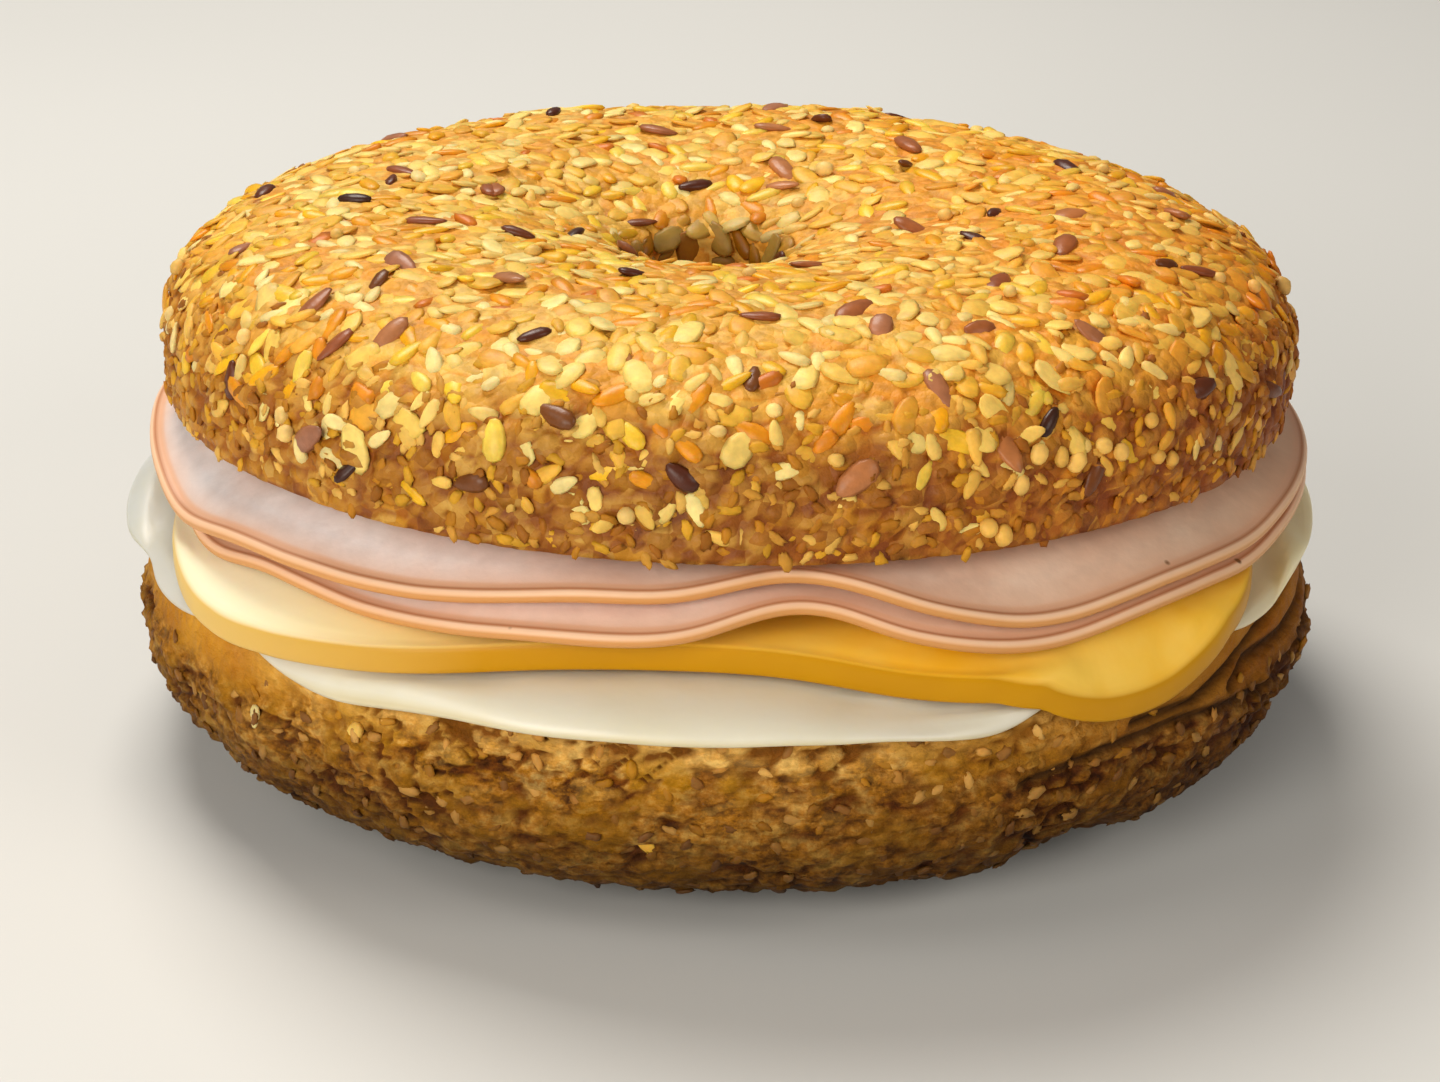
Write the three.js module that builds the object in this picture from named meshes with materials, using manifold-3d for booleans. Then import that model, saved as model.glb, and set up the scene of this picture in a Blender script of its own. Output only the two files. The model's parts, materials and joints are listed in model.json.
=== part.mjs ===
// A seeded bagel cut in two and filled: bread below, soft white cheese, a square slice of yellow
// cheese, two round slices of ham, bread on top. Millimetres, +Z up, resting on its flat underside.
// Azimuths are in degrees, counted from the front (-Y) towards the right (+X).

import * as THREE from 'three';
import { mergeVertices } from 'three/addons/utils/BufferGeometryUtils.js';
import { ImprovedNoise } from 'three/addons/math/ImprovedNoise.js';
import Module from 'manifold-3d';

const { degToRad, radToDeg, smoothstep, lerp, clamp, euclideanModulo } = THREE.MathUtils;
const wasm = await Module();
wasm.setup();

// ---------------------------------------------------------------- driving dimensions

const OVAL = 0.93;              // depth of the bread over its width
const AROUND = 60;              // faces round each ring
const ROUNDED_FROM = 0.98;      // share of the way out where the edge of a slice starts to round

const CROWN = {
  reach: 53.2,                  // widest half-width
  cutReach: 52.9,               // half-width at the cut
  widestAt: 4.5,                // height of the widest line above the cut
  height: 16.7,                 // crest above the cut
  crestRadius: 29,
  bulge: 2.5,                   // superellipse power of the outer flank
  lipBulge: 1.6,                // and of the flank that falls into the hole
  holeRadius: 7,
  throatAt: 11,                 // height where the hole's wall turns upright
  cutHeight: 33.9,              // height of the cut at the middle of the bagel
  tipBack: -0.046,              // radians about X: the front of the cut stands higher
  tipRight: 0.01,               // radians about Y: the right side stands lower
  lean: 0.006,                  // the right side has risen a little more than the left
  holeShift: -2.7,              // the hole lies a little left of the middle
  shiftFrom: 27,                // half-width inside which the skin follows that shift
  shiftWhole: 9,                // half-width inside which it follows it wholly
  cutRings: [22, 40],           // half-widths of the rings of vertices on the cut
  skinSteps: 14,                // rings of vertices along the skin
};

const BASE = {
  reach: 56.3,
  rimReach: 54.7,
  rimHeight: 21.5,
  widestAt: 14.5,
  flatReach: 27,                // half-width of the flat underside
  flatInner: 11,
  bulge: 2.5,
  holeRadius: 7.2,
  dentFrom: 46,                 // half-width past which the rim is pressed down
  cutRings: [24, 46],
  skinSteps: 9,
};
// Unevenness of the crusts: [amount, size of the lumps, offset in the noise].
const CROWN_LUMPS = [[0.7, 17, 3], [0.5, 7.5, 8]];
const BASE_LUMPS = [[-0.9, 15, 21], [-0.7, 7.5, 5]];
const BASE_LUMPS_FROM = [0.2, 5];   // heights between which the lumps set in above the flat underside

// Where the rim is pressed down by the corner of the yellow slice: [amount, azimuth, width].
const RIM_DENTS = [[0.9, 35, 18]];
const DENT_POWER = 4;           // how fast the dent fades below the rim

const WHITE = {
  lift: 0.3,                    // air between it and the bread
  thickness: 1.9,
  slope: -0.024,                // rise per millimetre towards the back
  reach: 56.8,
  thinnest: 0.5,
  overhangFrom: 55.3,           // half-width past which it may hang over the bread's rim
  leastEdge: 0.6,               // width of the rounded edge where there is no overhang
  hang: 0.3,                    // fall of the overhang per millimetre
  yielding: 1.04,               // share of the yellow slice's sag that it gives way to
  ledgeFall: 2,                 // fall of the bare ledge in front of the yellow slice
  ledgeWidth: 6,
  ledgePower: 1.5,
  swellFrom: [1.8, 4.2],        // distances from the yellow slice over which a swell sets in
};
// Where the soft cheese spreads further or stops short: [amount, azimuth, width].
const WHITE_LOBES = [
  [0.7, -80, 14], [-0.9, -71, 4], [-1.2, -52, 8], [0.7, -18, 9], [0.9, -4, 18], [-3.6, 41, 12.5],
  [-0.7, 70, 10], [-0.4, 84, 12], [0.6, 150, 16], [0.7, -150, 20],
];
// Where its overhang falls more, and where its bare ledge is thicker.
const WHITE_HANGS = [[1.6, -39, 9], [1.1, 27, 7], [1.4, -57, 10], [0.6, 56, 7]];
const WHITE_SWELLS = [[1.5, -88, 14], [1.9, 62, 13], [0.9, 88, 16]];

const YELLOW = {
  left: 51,                     // from the middle to each edge of the slice
  right: 48.6,
  front: 47.7,
  back: 46,
  corner: 8,                    // superellipse power of the square outline
  turn: -1.4,
  within: 57.2,                 // half-width of the oval that its corners keep inside
  cornerPower: 24,              // how sharply the square passes into that oval
  lift: 0.6,                    // air between it and the soft cheese
  clear: 1.2,                   // distance past the soft cheese's edge where it starts to fall freely
  thickness: 2.7,
  slope: -0.024,
  sagFrom: 44,                  // radius past which it bends down
  freeFall: 2.2,                // fall per millimetre where nothing lies under it
  restPower: 5,                 // how sharply the free fall passes into resting
};
const YELLOW_SAGS = [
  [4.4, -56, 18], [0.9, -32, 12], [2.8, 24, 14], [6.4, 42, 13.5], [1.9, 61, 11], [0.8, 90, 20],
  [0.6, 138, 16], [0.6, -138, 16],
];

// The ham lies along the cut of the bread above it and hangs down past sagFrom.
const HAM = {
  reach: 55.2,
  thickness: 1.5,
  gap: 0.5,                     // air between the two slices
  lift: 0.75,                   // air between the upper slice and the bread
  sagFrom: 43,
  sag: 2.9,                     // fall of the rim at the sides
  frontSag: 1.5,                // more at the front, less at the back
};
// Each slice of ham: where its rim draws back and where it rises or sags.
const HAM_SLICES = [
  {
    draws: [[-1.2, -45, 18], [-4.8, -77, 10], [-3.7, 7, 9], [0.3, -120, 25]],
    waves: [
      [3.3, 7, 11], [1, -14, 12], [-1, 32, 9], [-0.6, 60, 8], [-0.5, -38, 10], [-1.5, -60, 7],
      [0.6, 130, 25],
    ],
  },
  {
    draws: [[-1.8, -8, 26], [-3, 6, 9], [-0.4, -84, 12], [-0.5, 130, 30]],
    waves: [
      [3.9, 8, 13], [2.1, -14, 13], [-1, 32, 9], [-0.6, 60, 8], [-1.9, -65, 8.5], [0.6, 130, 25],
    ],
  },
];

const SEEDS = { spacing: 5.2, sunk: 0.03, tries: 4000, smallest: 0.88, spread: 0.24 };
const SEED_KINDS = [
  { share: 0.34, size: [5.4, 3.0, 2.2] },   // flax
  { share: 0.30, size: [4.8, 3.6, 1.6] },   // bran and oat flakes
  { share: 0.36, size: [4.0, 2.8, 2.2] },   // sesame
];
// How many seeds each half carries, and the stretch of its skin where they lie.
const SEEDS_ABOVE = { count: 150, from: 0.045, to: 0.84, seed: 11 };
const SEEDS_BELOW = { count: 8, from: 0.1, to: 0.6, seed: 5 };

const CRUST_COLOUR = 0xd9a24a;
const CRUMB_COLOUR = 0xa9854a;
const WHITE_COLOUR = 0xe9e6d8;
const YELLOW_COLOUR = 0xf0b020;
const HAM_COLOUR = 0xdcb4a4;

// ---------------------------------------------------------------- helpers

function seededRandom(seed) {
  let state = seed;
  return () => {
    state = (state + 0x6d2b79f5) | 0;
    let mixed = Math.imul(state ^ (state >>> 15), 1 | state);
    mixed = (mixed + Math.imul(mixed ^ (mixed >>> 7), 61 | mixed)) ^ mixed;
    return ((mixed ^ (mixed >>> 14)) >>> 0) / 4294967296;
  };
}

const noise = new ImprovedNoise();

// Smooth lumps of about one size, between -1 and 1.
function lumps(x, y, z, size, offset = 0) {
  return noise.noise(x / size + offset, y / size - offset, z / size + 2 * offset);
}

// A single smooth hump in azimuth, 1 at its centre.
function hump(azimuth, centre, width) {
  const away = euclideanModulo(azimuth - centre + 180, 360) - 180;
  return Math.exp(-((away / width) ** 2));
}

// The sum of humps given as [amount, azimuth, width].
function humps(azimuth, list) {
  return list.reduce((sum, [amount, centre, width]) => sum + amount * hump(azimuth, centre, width), 0);
}

// A point of the oval plan at a half-width and an azimuth.
function ovalPoint(azimuth, reach) {
  const angle = degToRad(azimuth);
  return new THREE.Vector2(reach * Math.sin(angle), -OVAL * reach * Math.cos(angle));
}

// Quarter superellipse from (fromR, fromZ), where it is upright, to (toR, toZ), where it is level.
function quarter(fromR, fromZ, toR, toZ, power, steps) {
  const points = [];
  for (let step = 1; step <= steps; step++) {
    const angle = (Math.PI / 2) * (step / steps);
    const across = Math.cos(angle) ** (2 / power);
    const up = Math.sin(angle) ** (2 / power);
    points.push(new THREE.Vector2(lerp(toR, fromR, across), lerp(fromZ, toZ, up)));
  }
  return points;
}

// Joins equal vertices and drops faces that have shrunk to a line.
function welded(geometry) {
  geometry.deleteAttribute('normal');
  geometry.deleteAttribute('uv');
  const merged = mergeVertices(geometry, 1e-3);
  const corners = merged.index.array;
  const kept = [];
  for (let i = 0; i < corners.length; i += 3) {
    const [a, b, c] = corners.slice(i, i + 3);
    if (a !== b && b !== c && c !== a) kept.push(a, b, c);
  }
  merged.setIndex(kept);
  return merged;
}

function toSolid(geometry) {
  const mesh = new wasm.Mesh({
    numProp: 3,
    vertProperties: new Float32Array(geometry.attributes.position.array),
    triVerts: new Uint32Array(geometry.index.array),
  });
  return new wasm.Manifold(mesh);
}

function fromSolid(solid) {
  const mesh = solid.getMesh();
  const geometry = new THREE.BufferGeometry();
  geometry.setAttribute('position', new THREE.BufferAttribute(mesh.vertProperties, 3));
  geometry.setIndex(new THREE.BufferAttribute(mesh.triVerts, 1));
  return geometry;
}

// Revolves a profile of (radius, height) round Z and moves each vertex by place(radius, azimuth, height).
function revolved(profile, place) {
  const geometry = new THREE.LatheGeometry(profile, AROUND);
  geometry.rotateX(Math.PI / 2);
  const position = geometry.attributes.position;
  for (let i = 0; i < position.count; i++) {
    const column = profile[i % profile.length];
    const azimuth = (360 / AROUND) * Math.floor(i / profile.length);
    const spot = place(column.x, euclideanModulo(azimuth, 360), column.y, i % profile.length);
    position.setXYZ(i, spot.x, spot.y, spot.z);
  }
  return welded(geometry);
}

// ---------------------------------------------------------------- bread

// How far the lower half is pressed down at a half-width and a height: most at its rim.
function pressedDown(azimuth, reach, height) {
  const outwards = smoothstep(reach, BASE.dentFrom, BASE.rimReach);
  return humps(azimuth, RIM_DENTS) * outwards * (height / BASE.rimHeight) ** DENT_POWER;
}

// A crust is the curved skin of one half, from the outer edge of the cut to the hole or underside.
// at(share, azimuth) gives the point and its outward normal at a share of the skin's length. side is
// 1 for a profile that runs anticlockwise and -1 for one that runs clockwise.
function makeCrust({ profile, side, relief, shift, settled }) {
  const curve = new THREE.SplineCurve(profile);
  const at = (share, azimuth) => {
    const spot = curve.getPointAt(share);
    const along = curve.getTangentAt(share).multiplyScalar(side);
    const angle = degToRad(azimuth);
    const normal = new THREE.Vector3(along.y * Math.sin(angle), -along.y * Math.cos(angle), -along.x);
    const plan = ovalPoint(azimuth, spot.x);
    const point = new THREE.Vector3(plan.x + shift(spot.x), plan.y, spot.y);
    const height = relief(point) * smoothstep(share, 0, 0.12) * smoothstep(1 - share, 0, 0.06);
    point.addScaledVector(normal, height);
    point.z -= settled(azimuth, spot.x, spot.y);
    return { point, normal };
  };
  return { curve, side, settled, at };
}

// One half of the bread: its skin, then the rest of the profile, back to where the skin starts.
function breadSolid(crust, steps, rest) {
  const spots = crust.curve.getSpacedPoints(steps);
  const profile = [...spots, ...rest, spots[0].clone()];
  const geometry = revolved(profile, (radius, azimuth, height, column) => {
    if (column <= steps) return crust.at(column / steps, azimuth).point;
    if (column === profile.length - 1) return crust.at(0, azimuth).point;
    const plan = ovalPoint(azimuth, radius);
    return new THREE.Vector3(plan.x, plan.y, height - crust.settled(azimuth, radius, height));
  });
  if (crust.side < 0) geometry.setIndex([...geometry.index.array].reverse());
  return geometry;
}

function crownProfile() {
  const { reach, cutReach, widestAt, height, crestRadius, bulge, lipBulge, holeRadius, throatAt } = CROWN;
  const lip = quarter(holeRadius, throatAt, crestRadius, height, lipBulge, 7).reverse().slice(1);
  return [
    new THREE.Vector2(cutReach, 0),
    new THREE.Vector2(reach, widestAt),
    ...quarter(reach, widestAt, crestRadius, height, bulge, 9),
    ...lip,
    new THREE.Vector2(holeRadius, throatAt),
    new THREE.Vector2(holeRadius + 0.4, 0),
  ];
}

// The outer edge of the rim and down the bowl to the flat underside.
function baseProfile() {
  const { reach, rimReach, rimHeight, widestAt, flatReach, bulge } = BASE;
  const bowl = quarter(reach, widestAt, flatReach, 0, bulge, 9);
  return [new THREE.Vector2(rimReach, rimHeight), new THREE.Vector2(reach, widestAt), ...bowl];
}

// In along the underside to the hole, up its wall and out across the cut.
function baseInside() {
  const { rimHeight, flatInner, holeRadius, cutRings } = BASE;
  return [
    new THREE.Vector2(flatInner, 0),
    new THREE.Vector2(holeRadius + 0.6, 3),
    new THREE.Vector2(holeRadius, 9),
    new THREE.Vector2(holeRadius + 0.3, rimHeight),
    ...cutRings.map((radius) => new THREE.Vector2(radius, rimHeight)),
  ];
}

// The sum of several sizes of lumps, given as [amount, size, offset].
function roughness({ x, y, z }, list) {
  return list.reduce((sum, [amount, size, offset]) => sum + amount * lumps(x, y, z, size, offset), 0);
}

// One flat seed: a low six-sided lens, its long axis along the skin.
function seedSolid(size, { point, normal }, turn) {
  const geometry = new THREE.SphereGeometry(0.5, 6, 2);
  geometry.rotateX(Math.PI / 2);
  geometry.scale(...size);
  const helper = Math.abs(normal.z) < 0.9 ? new THREE.Vector3(0, 0, 1) : new THREE.Vector3(1, 0, 0);
  const side = new THREE.Vector3().crossVectors(helper, normal).normalize().applyAxisAngle(normal, turn);
  const across = new THREE.Vector3().crossVectors(normal, side);
  const place = new THREE.Matrix4().makeBasis(side, across, normal);
  place.setPosition(point.clone().addScaledVector(normal, -SEEDS.sunk * size[2]));
  geometry.applyMatrix4(place);
  return toSolid(welded(geometry));
}

// Spreads seeds evenly over a stretch of the skin, the largest kinds first.
function strewn(crust, { count, from, to, seed }) {
  const random = seededRandom(seed);
  const placed = [];
  const solids = [];
  for (const kind of SEED_KINDS) {
    const wanted = Math.round(kind.share * count);
    let made = 0;
    for (let attempt = 0; attempt < SEEDS.tries && made < wanted; attempt++) {
      const share = lerp(from, to, random());
      const azimuth = 360 * random();
      const turn = 2 * Math.PI * random();
      const growth = SEEDS.smallest + SEEDS.spread * random();
      const thinning = random();
      if (thinning > crust.curve.getPointAt(share).x / CROWN.reach) continue;
      const spot = crust.at(share, azimuth);
      spot.normal.normalize();
      if (placed.some((other) => other.distanceTo(spot.point) < SEEDS.spacing)) continue;
      placed.push(spot.point);
      solids.push(seedSolid(kind.size.map((length) => length * growth), spot, turn));
      made++;
    }
  }
  return solids;
}

// Fuses the seeds to the bread. One that barely misses a facet stays out.
function withSeeds(bread, seeds) {
  const fused = seeds.reduce((whole, seed) => whole.add(seed), toSolid(bread));
  const bodies = fused.decompose().sort((a, b) => b.volume() - a.volume());
  return fromSolid(bodies[0]);
}

function topHalf() {
  const crust = makeCrust({
    profile: crownProfile(),
    side: 1,
    relief: (spot) => CROWN.lean * spot.x + roughness(spot, CROWN_LUMPS),
    shift: (radius) => {
      const inwards = smoothstep(CROWN.shiftFrom - radius, 0, CROWN.shiftFrom - CROWN.shiftWhole);
      return CROWN.holeShift * inwards;
    },
    settled: () => 0,
  });
  const cut = CROWN.cutRings.map((radius) => new THREE.Vector2(radius, 0));
  return withSeeds(breadSolid(crust, CROWN.skinSteps, cut), strewn(crust, SEEDS_ABOVE));
}

function bottomHalf() {
  const crust = makeCrust({
    profile: baseProfile(),
    side: -1,
    relief: (spot) => roughness(spot, BASE_LUMPS) * smoothstep(spot.z, ...BASE_LUMPS_FROM),
    shift: () => 0,
    settled: pressedDown,
  });
  return withSeeds(breadSolid(crust, BASE.skinSteps, baseInside()), strewn(crust, SEEDS_BELOW));
}

// ---------------------------------------------------------------- filling

const WHITE_UNDER = BASE.rimHeight + WHITE.lift;
const WHITE_TOP = WHITE_UNDER + WHITE.thickness;
const YELLOW_UNDER = WHITE_TOP + YELLOW.lift;
const YELLOW_TOP = YELLOW_UNDER + YELLOW.thickness;
const HAM_STEP = HAM.thickness + HAM.gap;
const HAM_UNDER = CROWN.cutHeight - HAM.lift - HAM.thickness - HAM_STEP;

const azimuthOf = (x, y) => radToDeg(Math.atan2(x, -y));
const halfWidthAt = (x, y) => Math.hypot(x, y / OVAL);

// The lesser of two lengths, with the kink between them rounded off.
function softLeast(first, second, power) {
  return (first ** -power + second ** -power) ** (-1 / power);
}

// A slab between two height functions. outline(azimuth, share) is a point of its plan, stations are
// [share of the way out, level], where level runs from -1 at the underside to 1 on top.
function slab(outline, stations, under, over) {
  const profile = stations.map(([share, level]) => new THREE.Vector2(share, level));
  return revolved(profile, (share, azimuth, level) => {
    const plan = outline(azimuth, share);
    const low = under(plan.x, plan.y);
    const high = over(plan.x, plan.y);
    return new THREE.Vector3(plan.x, plan.y, lerp(low, high, (level + 1) / 2));
  });
}

const whiteReach = (azimuth) => WHITE.reach + humps(azimuth, WHITE_LOBES);

// The underside of the soft cheese: level on the bread, and hanging a little past its rim.
function whiteUnder(x, y) {
  const azimuth = azimuthOf(x, y);
  const reach = halfWidthAt(x, y);
  const past = Math.max(0, reach - WHITE.overhangFrom);
  const hang = WHITE.hang + humps(azimuth, WHITE_HANGS);
  return WHITE_UNDER - pressedDown(azimuth, reach, BASE.rimHeight) - past * hang;
}

// Distance from the middle to the yellow slice's edge: a square with round corners, inside the oval.
function yellowReach(azimuth) {
  const angle = degToRad(azimuth - YELLOW.turn);
  const side = Math.sin(angle) > 0 ? YELLOW.right : YELLOW.left;
  const depth = Math.cos(angle) > 0 ? YELLOW.front : YELLOW.back;
  const across = (Math.abs(Math.sin(angle)) / side) ** YELLOW.corner;
  const along = (Math.abs(Math.cos(angle)) / depth) ** YELLOW.corner;
  const square = (across + along) ** (-1 / YELLOW.corner);
  return softLeast(square, ovalPoint(azimuth, YELLOW.within).length(), YELLOW.cornerPower);
}

// How far the yellow slice has bent down at a point. Past its edge, as far as at the edge. It sinks
// into the soft cheese until that is thinnest, and hangs freely where there is none past the rim.
function yellowSag(x, y) {
  const azimuth = azimuthOf(x, y);
  const bending = ROUNDED_FROM * yellowReach(azimuth) - YELLOW.sagFrom;
  const share = clamp((Math.hypot(x, y) - YELLOW.sagFrom) / bending, 0, 1);
  const free = humps(azimuth, YELLOW_SAGS) * share ** 3;
  const depth = WHITE_TOP + WHITE.slope * y - whiteUnder(x, y) - WHITE.thinnest;
  const restsTo = Math.max(BASE.rimReach, whiteReach(azimuth) + YELLOW.clear);
  const past = Math.max(0, halfWidthAt(x, y) - restsTo);
  return softLeast(free, depth / WHITE.yielding + YELLOW.freeFall * past, YELLOW.restPower);
}

function yellowSlice() {
  const outline = (azimuth, share) => {
    const angle = degToRad(azimuth);
    const reach = share * yellowReach(azimuth);
    return new THREE.Vector2(reach * Math.sin(angle), -reach * Math.cos(angle));
  };
  const level = (start) => (x, y) => start + YELLOW.slope * y - yellowSag(x, y);
  const stations = [
    [0, -1], [0.84, -1], [0.91, -1], [0.955, -1], [ROUNDED_FROM, -1], [1, 0],
    [ROUNDED_FROM, 1], [0.955, 1], [0.91, 1], [0.84, 1], [0, 1],
  ];
  return slab(outline, stations, level(YELLOW_UNDER), level(YELLOW_TOP));
}

const WHITE_RIM_SHARE = 0.9;    // share of its outline that lies on the bread

// The soft cheese has spread past the bread in lobes. Under the yellow slice it is pressed down, in
// front of it a bare ledge rolls over to the rim.
function whiteLayer() {
  const outline = (azimuth, share) => {
    const edge = whiteReach(azimuth);
    const rim = Math.min(WHITE.overhangFrom, edge - WHITE.leastEdge);
    if (share <= WHITE_RIM_SHARE) return ovalPoint(azimuth, (share / WHITE_RIM_SHARE) * rim);
    return ovalPoint(azimuth, lerp(rim, edge, (share - WHITE_RIM_SHARE) / (1 - WHITE_RIM_SHARE)));
  };
  const over = (x, y) => {
    const azimuth = azimuthOf(x, y);
    const bare = Math.max(0, Math.hypot(x, y) - yellowReach(azimuth));
    const swell = humps(azimuth, WHITE_SWELLS) * smoothstep(bare, ...WHITE.swellFrom);
    const ledgeFall = WHITE.ledgeFall * (bare / WHITE.ledgeWidth) ** WHITE.ledgePower;
    const top = WHITE_TOP + WHITE.slope * y + swell - WHITE.yielding * yellowSag(x, y) - ledgeFall;
    return Math.max(top, whiteUnder(x, y) + WHITE.thinnest);
  };
  const stations = [
    [0, -1], [0.75, -1], [0.8, -1], [WHITE_RIM_SHARE, -1], [0.96, -0.9], [1, 0], [0.97, 0.7],
    [WHITE_RIM_SHARE, 1], [0.865, 1], [0.82, 1], [0.76, 1], [0, 1],
  ];
  return slab(outline, stations, whiteUnder, over);
}

function hamSlice(order) {
  const { draws, waves } = HAM_SLICES[order];
  const reach = (azimuth) => HAM.reach + humps(azimuth, draws);
  const level = (start) => (x, y) => {
    const azimuth = azimuthOf(x, y);
    const bending = ROUNDED_FROM * reach(azimuth) - HAM.sagFrom;
    const share = clamp((halfWidthAt(x, y) - HAM.sagFrom) / bending, 0, 1);
    const sag = HAM.sag + HAM.frontSag * Math.cos(degToRad(azimuth)) - humps(azimuth, waves);
    return start + CROWN.tipBack * y - CROWN.tipRight * x - sag * share ** 2;
  };
  const stations = [
    [0, -1], [0.77, -1], [0.885, -1], [ROUNDED_FROM, -1], [1, 0],
    [ROUNDED_FROM, 1], [0.885, 1], [0.77, 1], [0, 1],
  ];
  const under = HAM_UNDER + order * HAM_STEP;
  const outline = (azimuth, share) => ovalPoint(azimuth, share * reach(azimuth));
  return slab(outline, stations, level(under), level(under + HAM.thickness));
}

// ---------------------------------------------------------------- assembly

function piece(name, geometry, color, roughness) {
  geometry.computeVertexNormals();
  const material = new THREE.MeshStandardMaterial({ color, roughness, metalness: 0 });
  const mesh = new THREE.Mesh(geometry, material);
  mesh.name = name;
  return mesh;
}

const bagel = new THREE.Group();
bagel.add(piece('bottom_half', bottomHalf(), CRUMB_COLOUR, 0.85));
bagel.add(piece('white_layer', whiteLayer(), WHITE_COLOUR, 0.4));
bagel.add(piece('yellow_cheese', yellowSlice(), YELLOW_COLOUR, 0.4));
bagel.add(piece('ham_lower', hamSlice(0), HAM_COLOUR, 0.5));
bagel.add(piece('ham_upper', hamSlice(1), HAM_COLOUR, 0.5));

const crown = piece('top_half', topHalf(), CRUST_COLOUR, 0.8);
crown.rotation.set(CROWN.tipBack, CROWN.tipRight, 0);
crown.position.z = CROWN.cutHeight;
bagel.add(crown);

// The origin is the middle of the footprint, on the surface the bagel rests on.
const extent = new THREE.Box3().setFromObject(bagel, true);
const middle = extent.getCenter(new THREE.Vector3());
bagel.position.set(-middle.x, -middle.y, -extent.min.z);

export default bagel;
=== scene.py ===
"""A filled seeded bagel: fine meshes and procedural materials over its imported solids.

Shapes are worked out in millimetres in the bagel's own frame, whose Z axis runs through the hole of
the lower half. add_mesh() brings them into the shared frame, in metres. Azimuths are in degrees,
counted from the front (-Y) towards the right (+X).
"""

import json
import math
from collections import namedtuple
from types import SimpleNamespace as Sizes

import bpy
import numpy as np
from mathutils import Matrix, Vector, noise
from mathutils.bvhtree import BVHTree


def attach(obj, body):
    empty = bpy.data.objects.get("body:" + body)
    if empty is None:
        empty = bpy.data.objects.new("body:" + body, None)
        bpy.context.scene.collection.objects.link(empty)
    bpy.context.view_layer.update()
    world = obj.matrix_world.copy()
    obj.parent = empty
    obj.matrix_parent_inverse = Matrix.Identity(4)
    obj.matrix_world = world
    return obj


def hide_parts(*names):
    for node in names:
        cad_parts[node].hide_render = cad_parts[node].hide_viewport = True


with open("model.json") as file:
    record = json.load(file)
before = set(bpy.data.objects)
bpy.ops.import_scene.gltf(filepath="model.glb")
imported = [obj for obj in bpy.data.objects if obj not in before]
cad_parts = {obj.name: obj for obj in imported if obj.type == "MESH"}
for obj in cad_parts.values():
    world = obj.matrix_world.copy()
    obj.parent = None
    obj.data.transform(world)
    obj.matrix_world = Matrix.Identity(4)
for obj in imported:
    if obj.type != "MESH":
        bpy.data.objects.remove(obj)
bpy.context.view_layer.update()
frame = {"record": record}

# ---- sizes, in millimetres

METRE = 1000  # millimetres
OVAL = 0.93  # depth of the bread over its width
ROUNDED_FROM = 0.98  # share of the way out where the edge of a slice starts to round

CROWN = Sizes(
    reach=53.2, cut_reach=52.9, widest_at=4.5, height=16.7, crest_radius=29, bulge=2.5, lip_bulge=1.6,
    hole_radius=7, throat_at=11, cut_height=33.9, tip_back=-0.046, tip_right=0.01, lean=0.006,
    hole_shift=-2.7, shift_from=27, shift_whole=9, hole_flare=0.4
)
BASE = Sizes(
    reach=56.3, rim_reach=54.7, rim_height=21.5, widest_at=14.5, flat_reach=27, bulge=2.5, dent_from=46,
    dent_power=4
)
WHITE = Sizes(
    lift=0.3, thickness=1.9, slope=-0.024, reach=56.8, thinnest=0.5, overhang_from=55.3, least_edge=0.6,
    hang=0.3, yielding=1.04, ledge_fall=2, ledge_width=6, ledge_power=1.5, swell_from=(1.8, 4.2),
    rim_share=0.9
)
YELLOW = Sizes(
    left=51, right=48.6, front=47.7, back=46, corner=8, turn=-1.4, within=57.2, corner_power=24, lift=0.6,
    clear=1.2, thickness=2.7, slope=-0.024, sag_from=44, free_fall=2.2, rest_power=5
)
HAM = Sizes(reach=55.2, thickness=1.5, gap=0.5, lift=0.75, sag_from=43, sag=2.9, front_sag=1.5)

# Unevenness round the bagel, each hump given as (amount, azimuth, width).
RIM_DENTS = ((0.9, 35, 18),)
WHITE_LOBES = (
    (0.7, -80, 14), (-0.9, -71, 4), (-1.2, -52, 8), (0.7, -18, 9), (0.9, -4, 18), (-3.6, 41, 12.5),
    (-0.7, 70, 10), (-0.4, 84, 12), (0.6, 150, 16), (0.7, -150, 20)
)
WHITE_HANGS = ((1.6, -39, 9), (1.1, 27, 7), (1.4, -57, 10), (0.6, 56, 7))
WHITE_SWELLS = ((1.5, -88, 14), (1.9, 62, 13), (0.9, 88, 16))
YELLOW_SAGS = (
    (4.4, -56, 18), (0.9, -32, 12), (2.8, 24, 14), (6.4, 42, 13.5), (1.9, 61, 11), (0.8, 90, 20),
    (0.6, 138, 16), (0.6, -138, 16)
)
HAM_DRAWS = (
    ((-1.2, -45, 18), (-4.8, -77, 10), (-3.7, 7, 9), (0.3, -120, 25)),
    ((-1.8, -8, 26), (-3, 6, 9), (-0.4, -84, 12), (-0.5, 130, 30)),
)
HAM_WAVES = (
    ((3.3, 7, 11), (1, -14, 12), (-1, 32, 9), (-0.6, 60, 8), (-0.5, -38, 10), (-1.5, -60, 7),
     (0.6, 130, 25)),
    ((3.9, 8, 13), (2.1, -14, 13), (-1, 32, 9), (-0.6, 60, 8), (-1.9, -65, 8.5), (0.6, 130, 25)),
)

WHITE_UNDER = BASE.rim_height + WHITE.lift
WHITE_TOP = WHITE_UNDER + WHITE.thickness
YELLOW_UNDER = WHITE_TOP + YELLOW.lift
YELLOW_TOP = YELLOW_UNDER + YELLOW.thickness
HAM_STEP = HAM.thickness + HAM.gap
HAM_UNDER = CROWN.cut_height - HAM.lift - HAM.thickness - HAM_STEP

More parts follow.
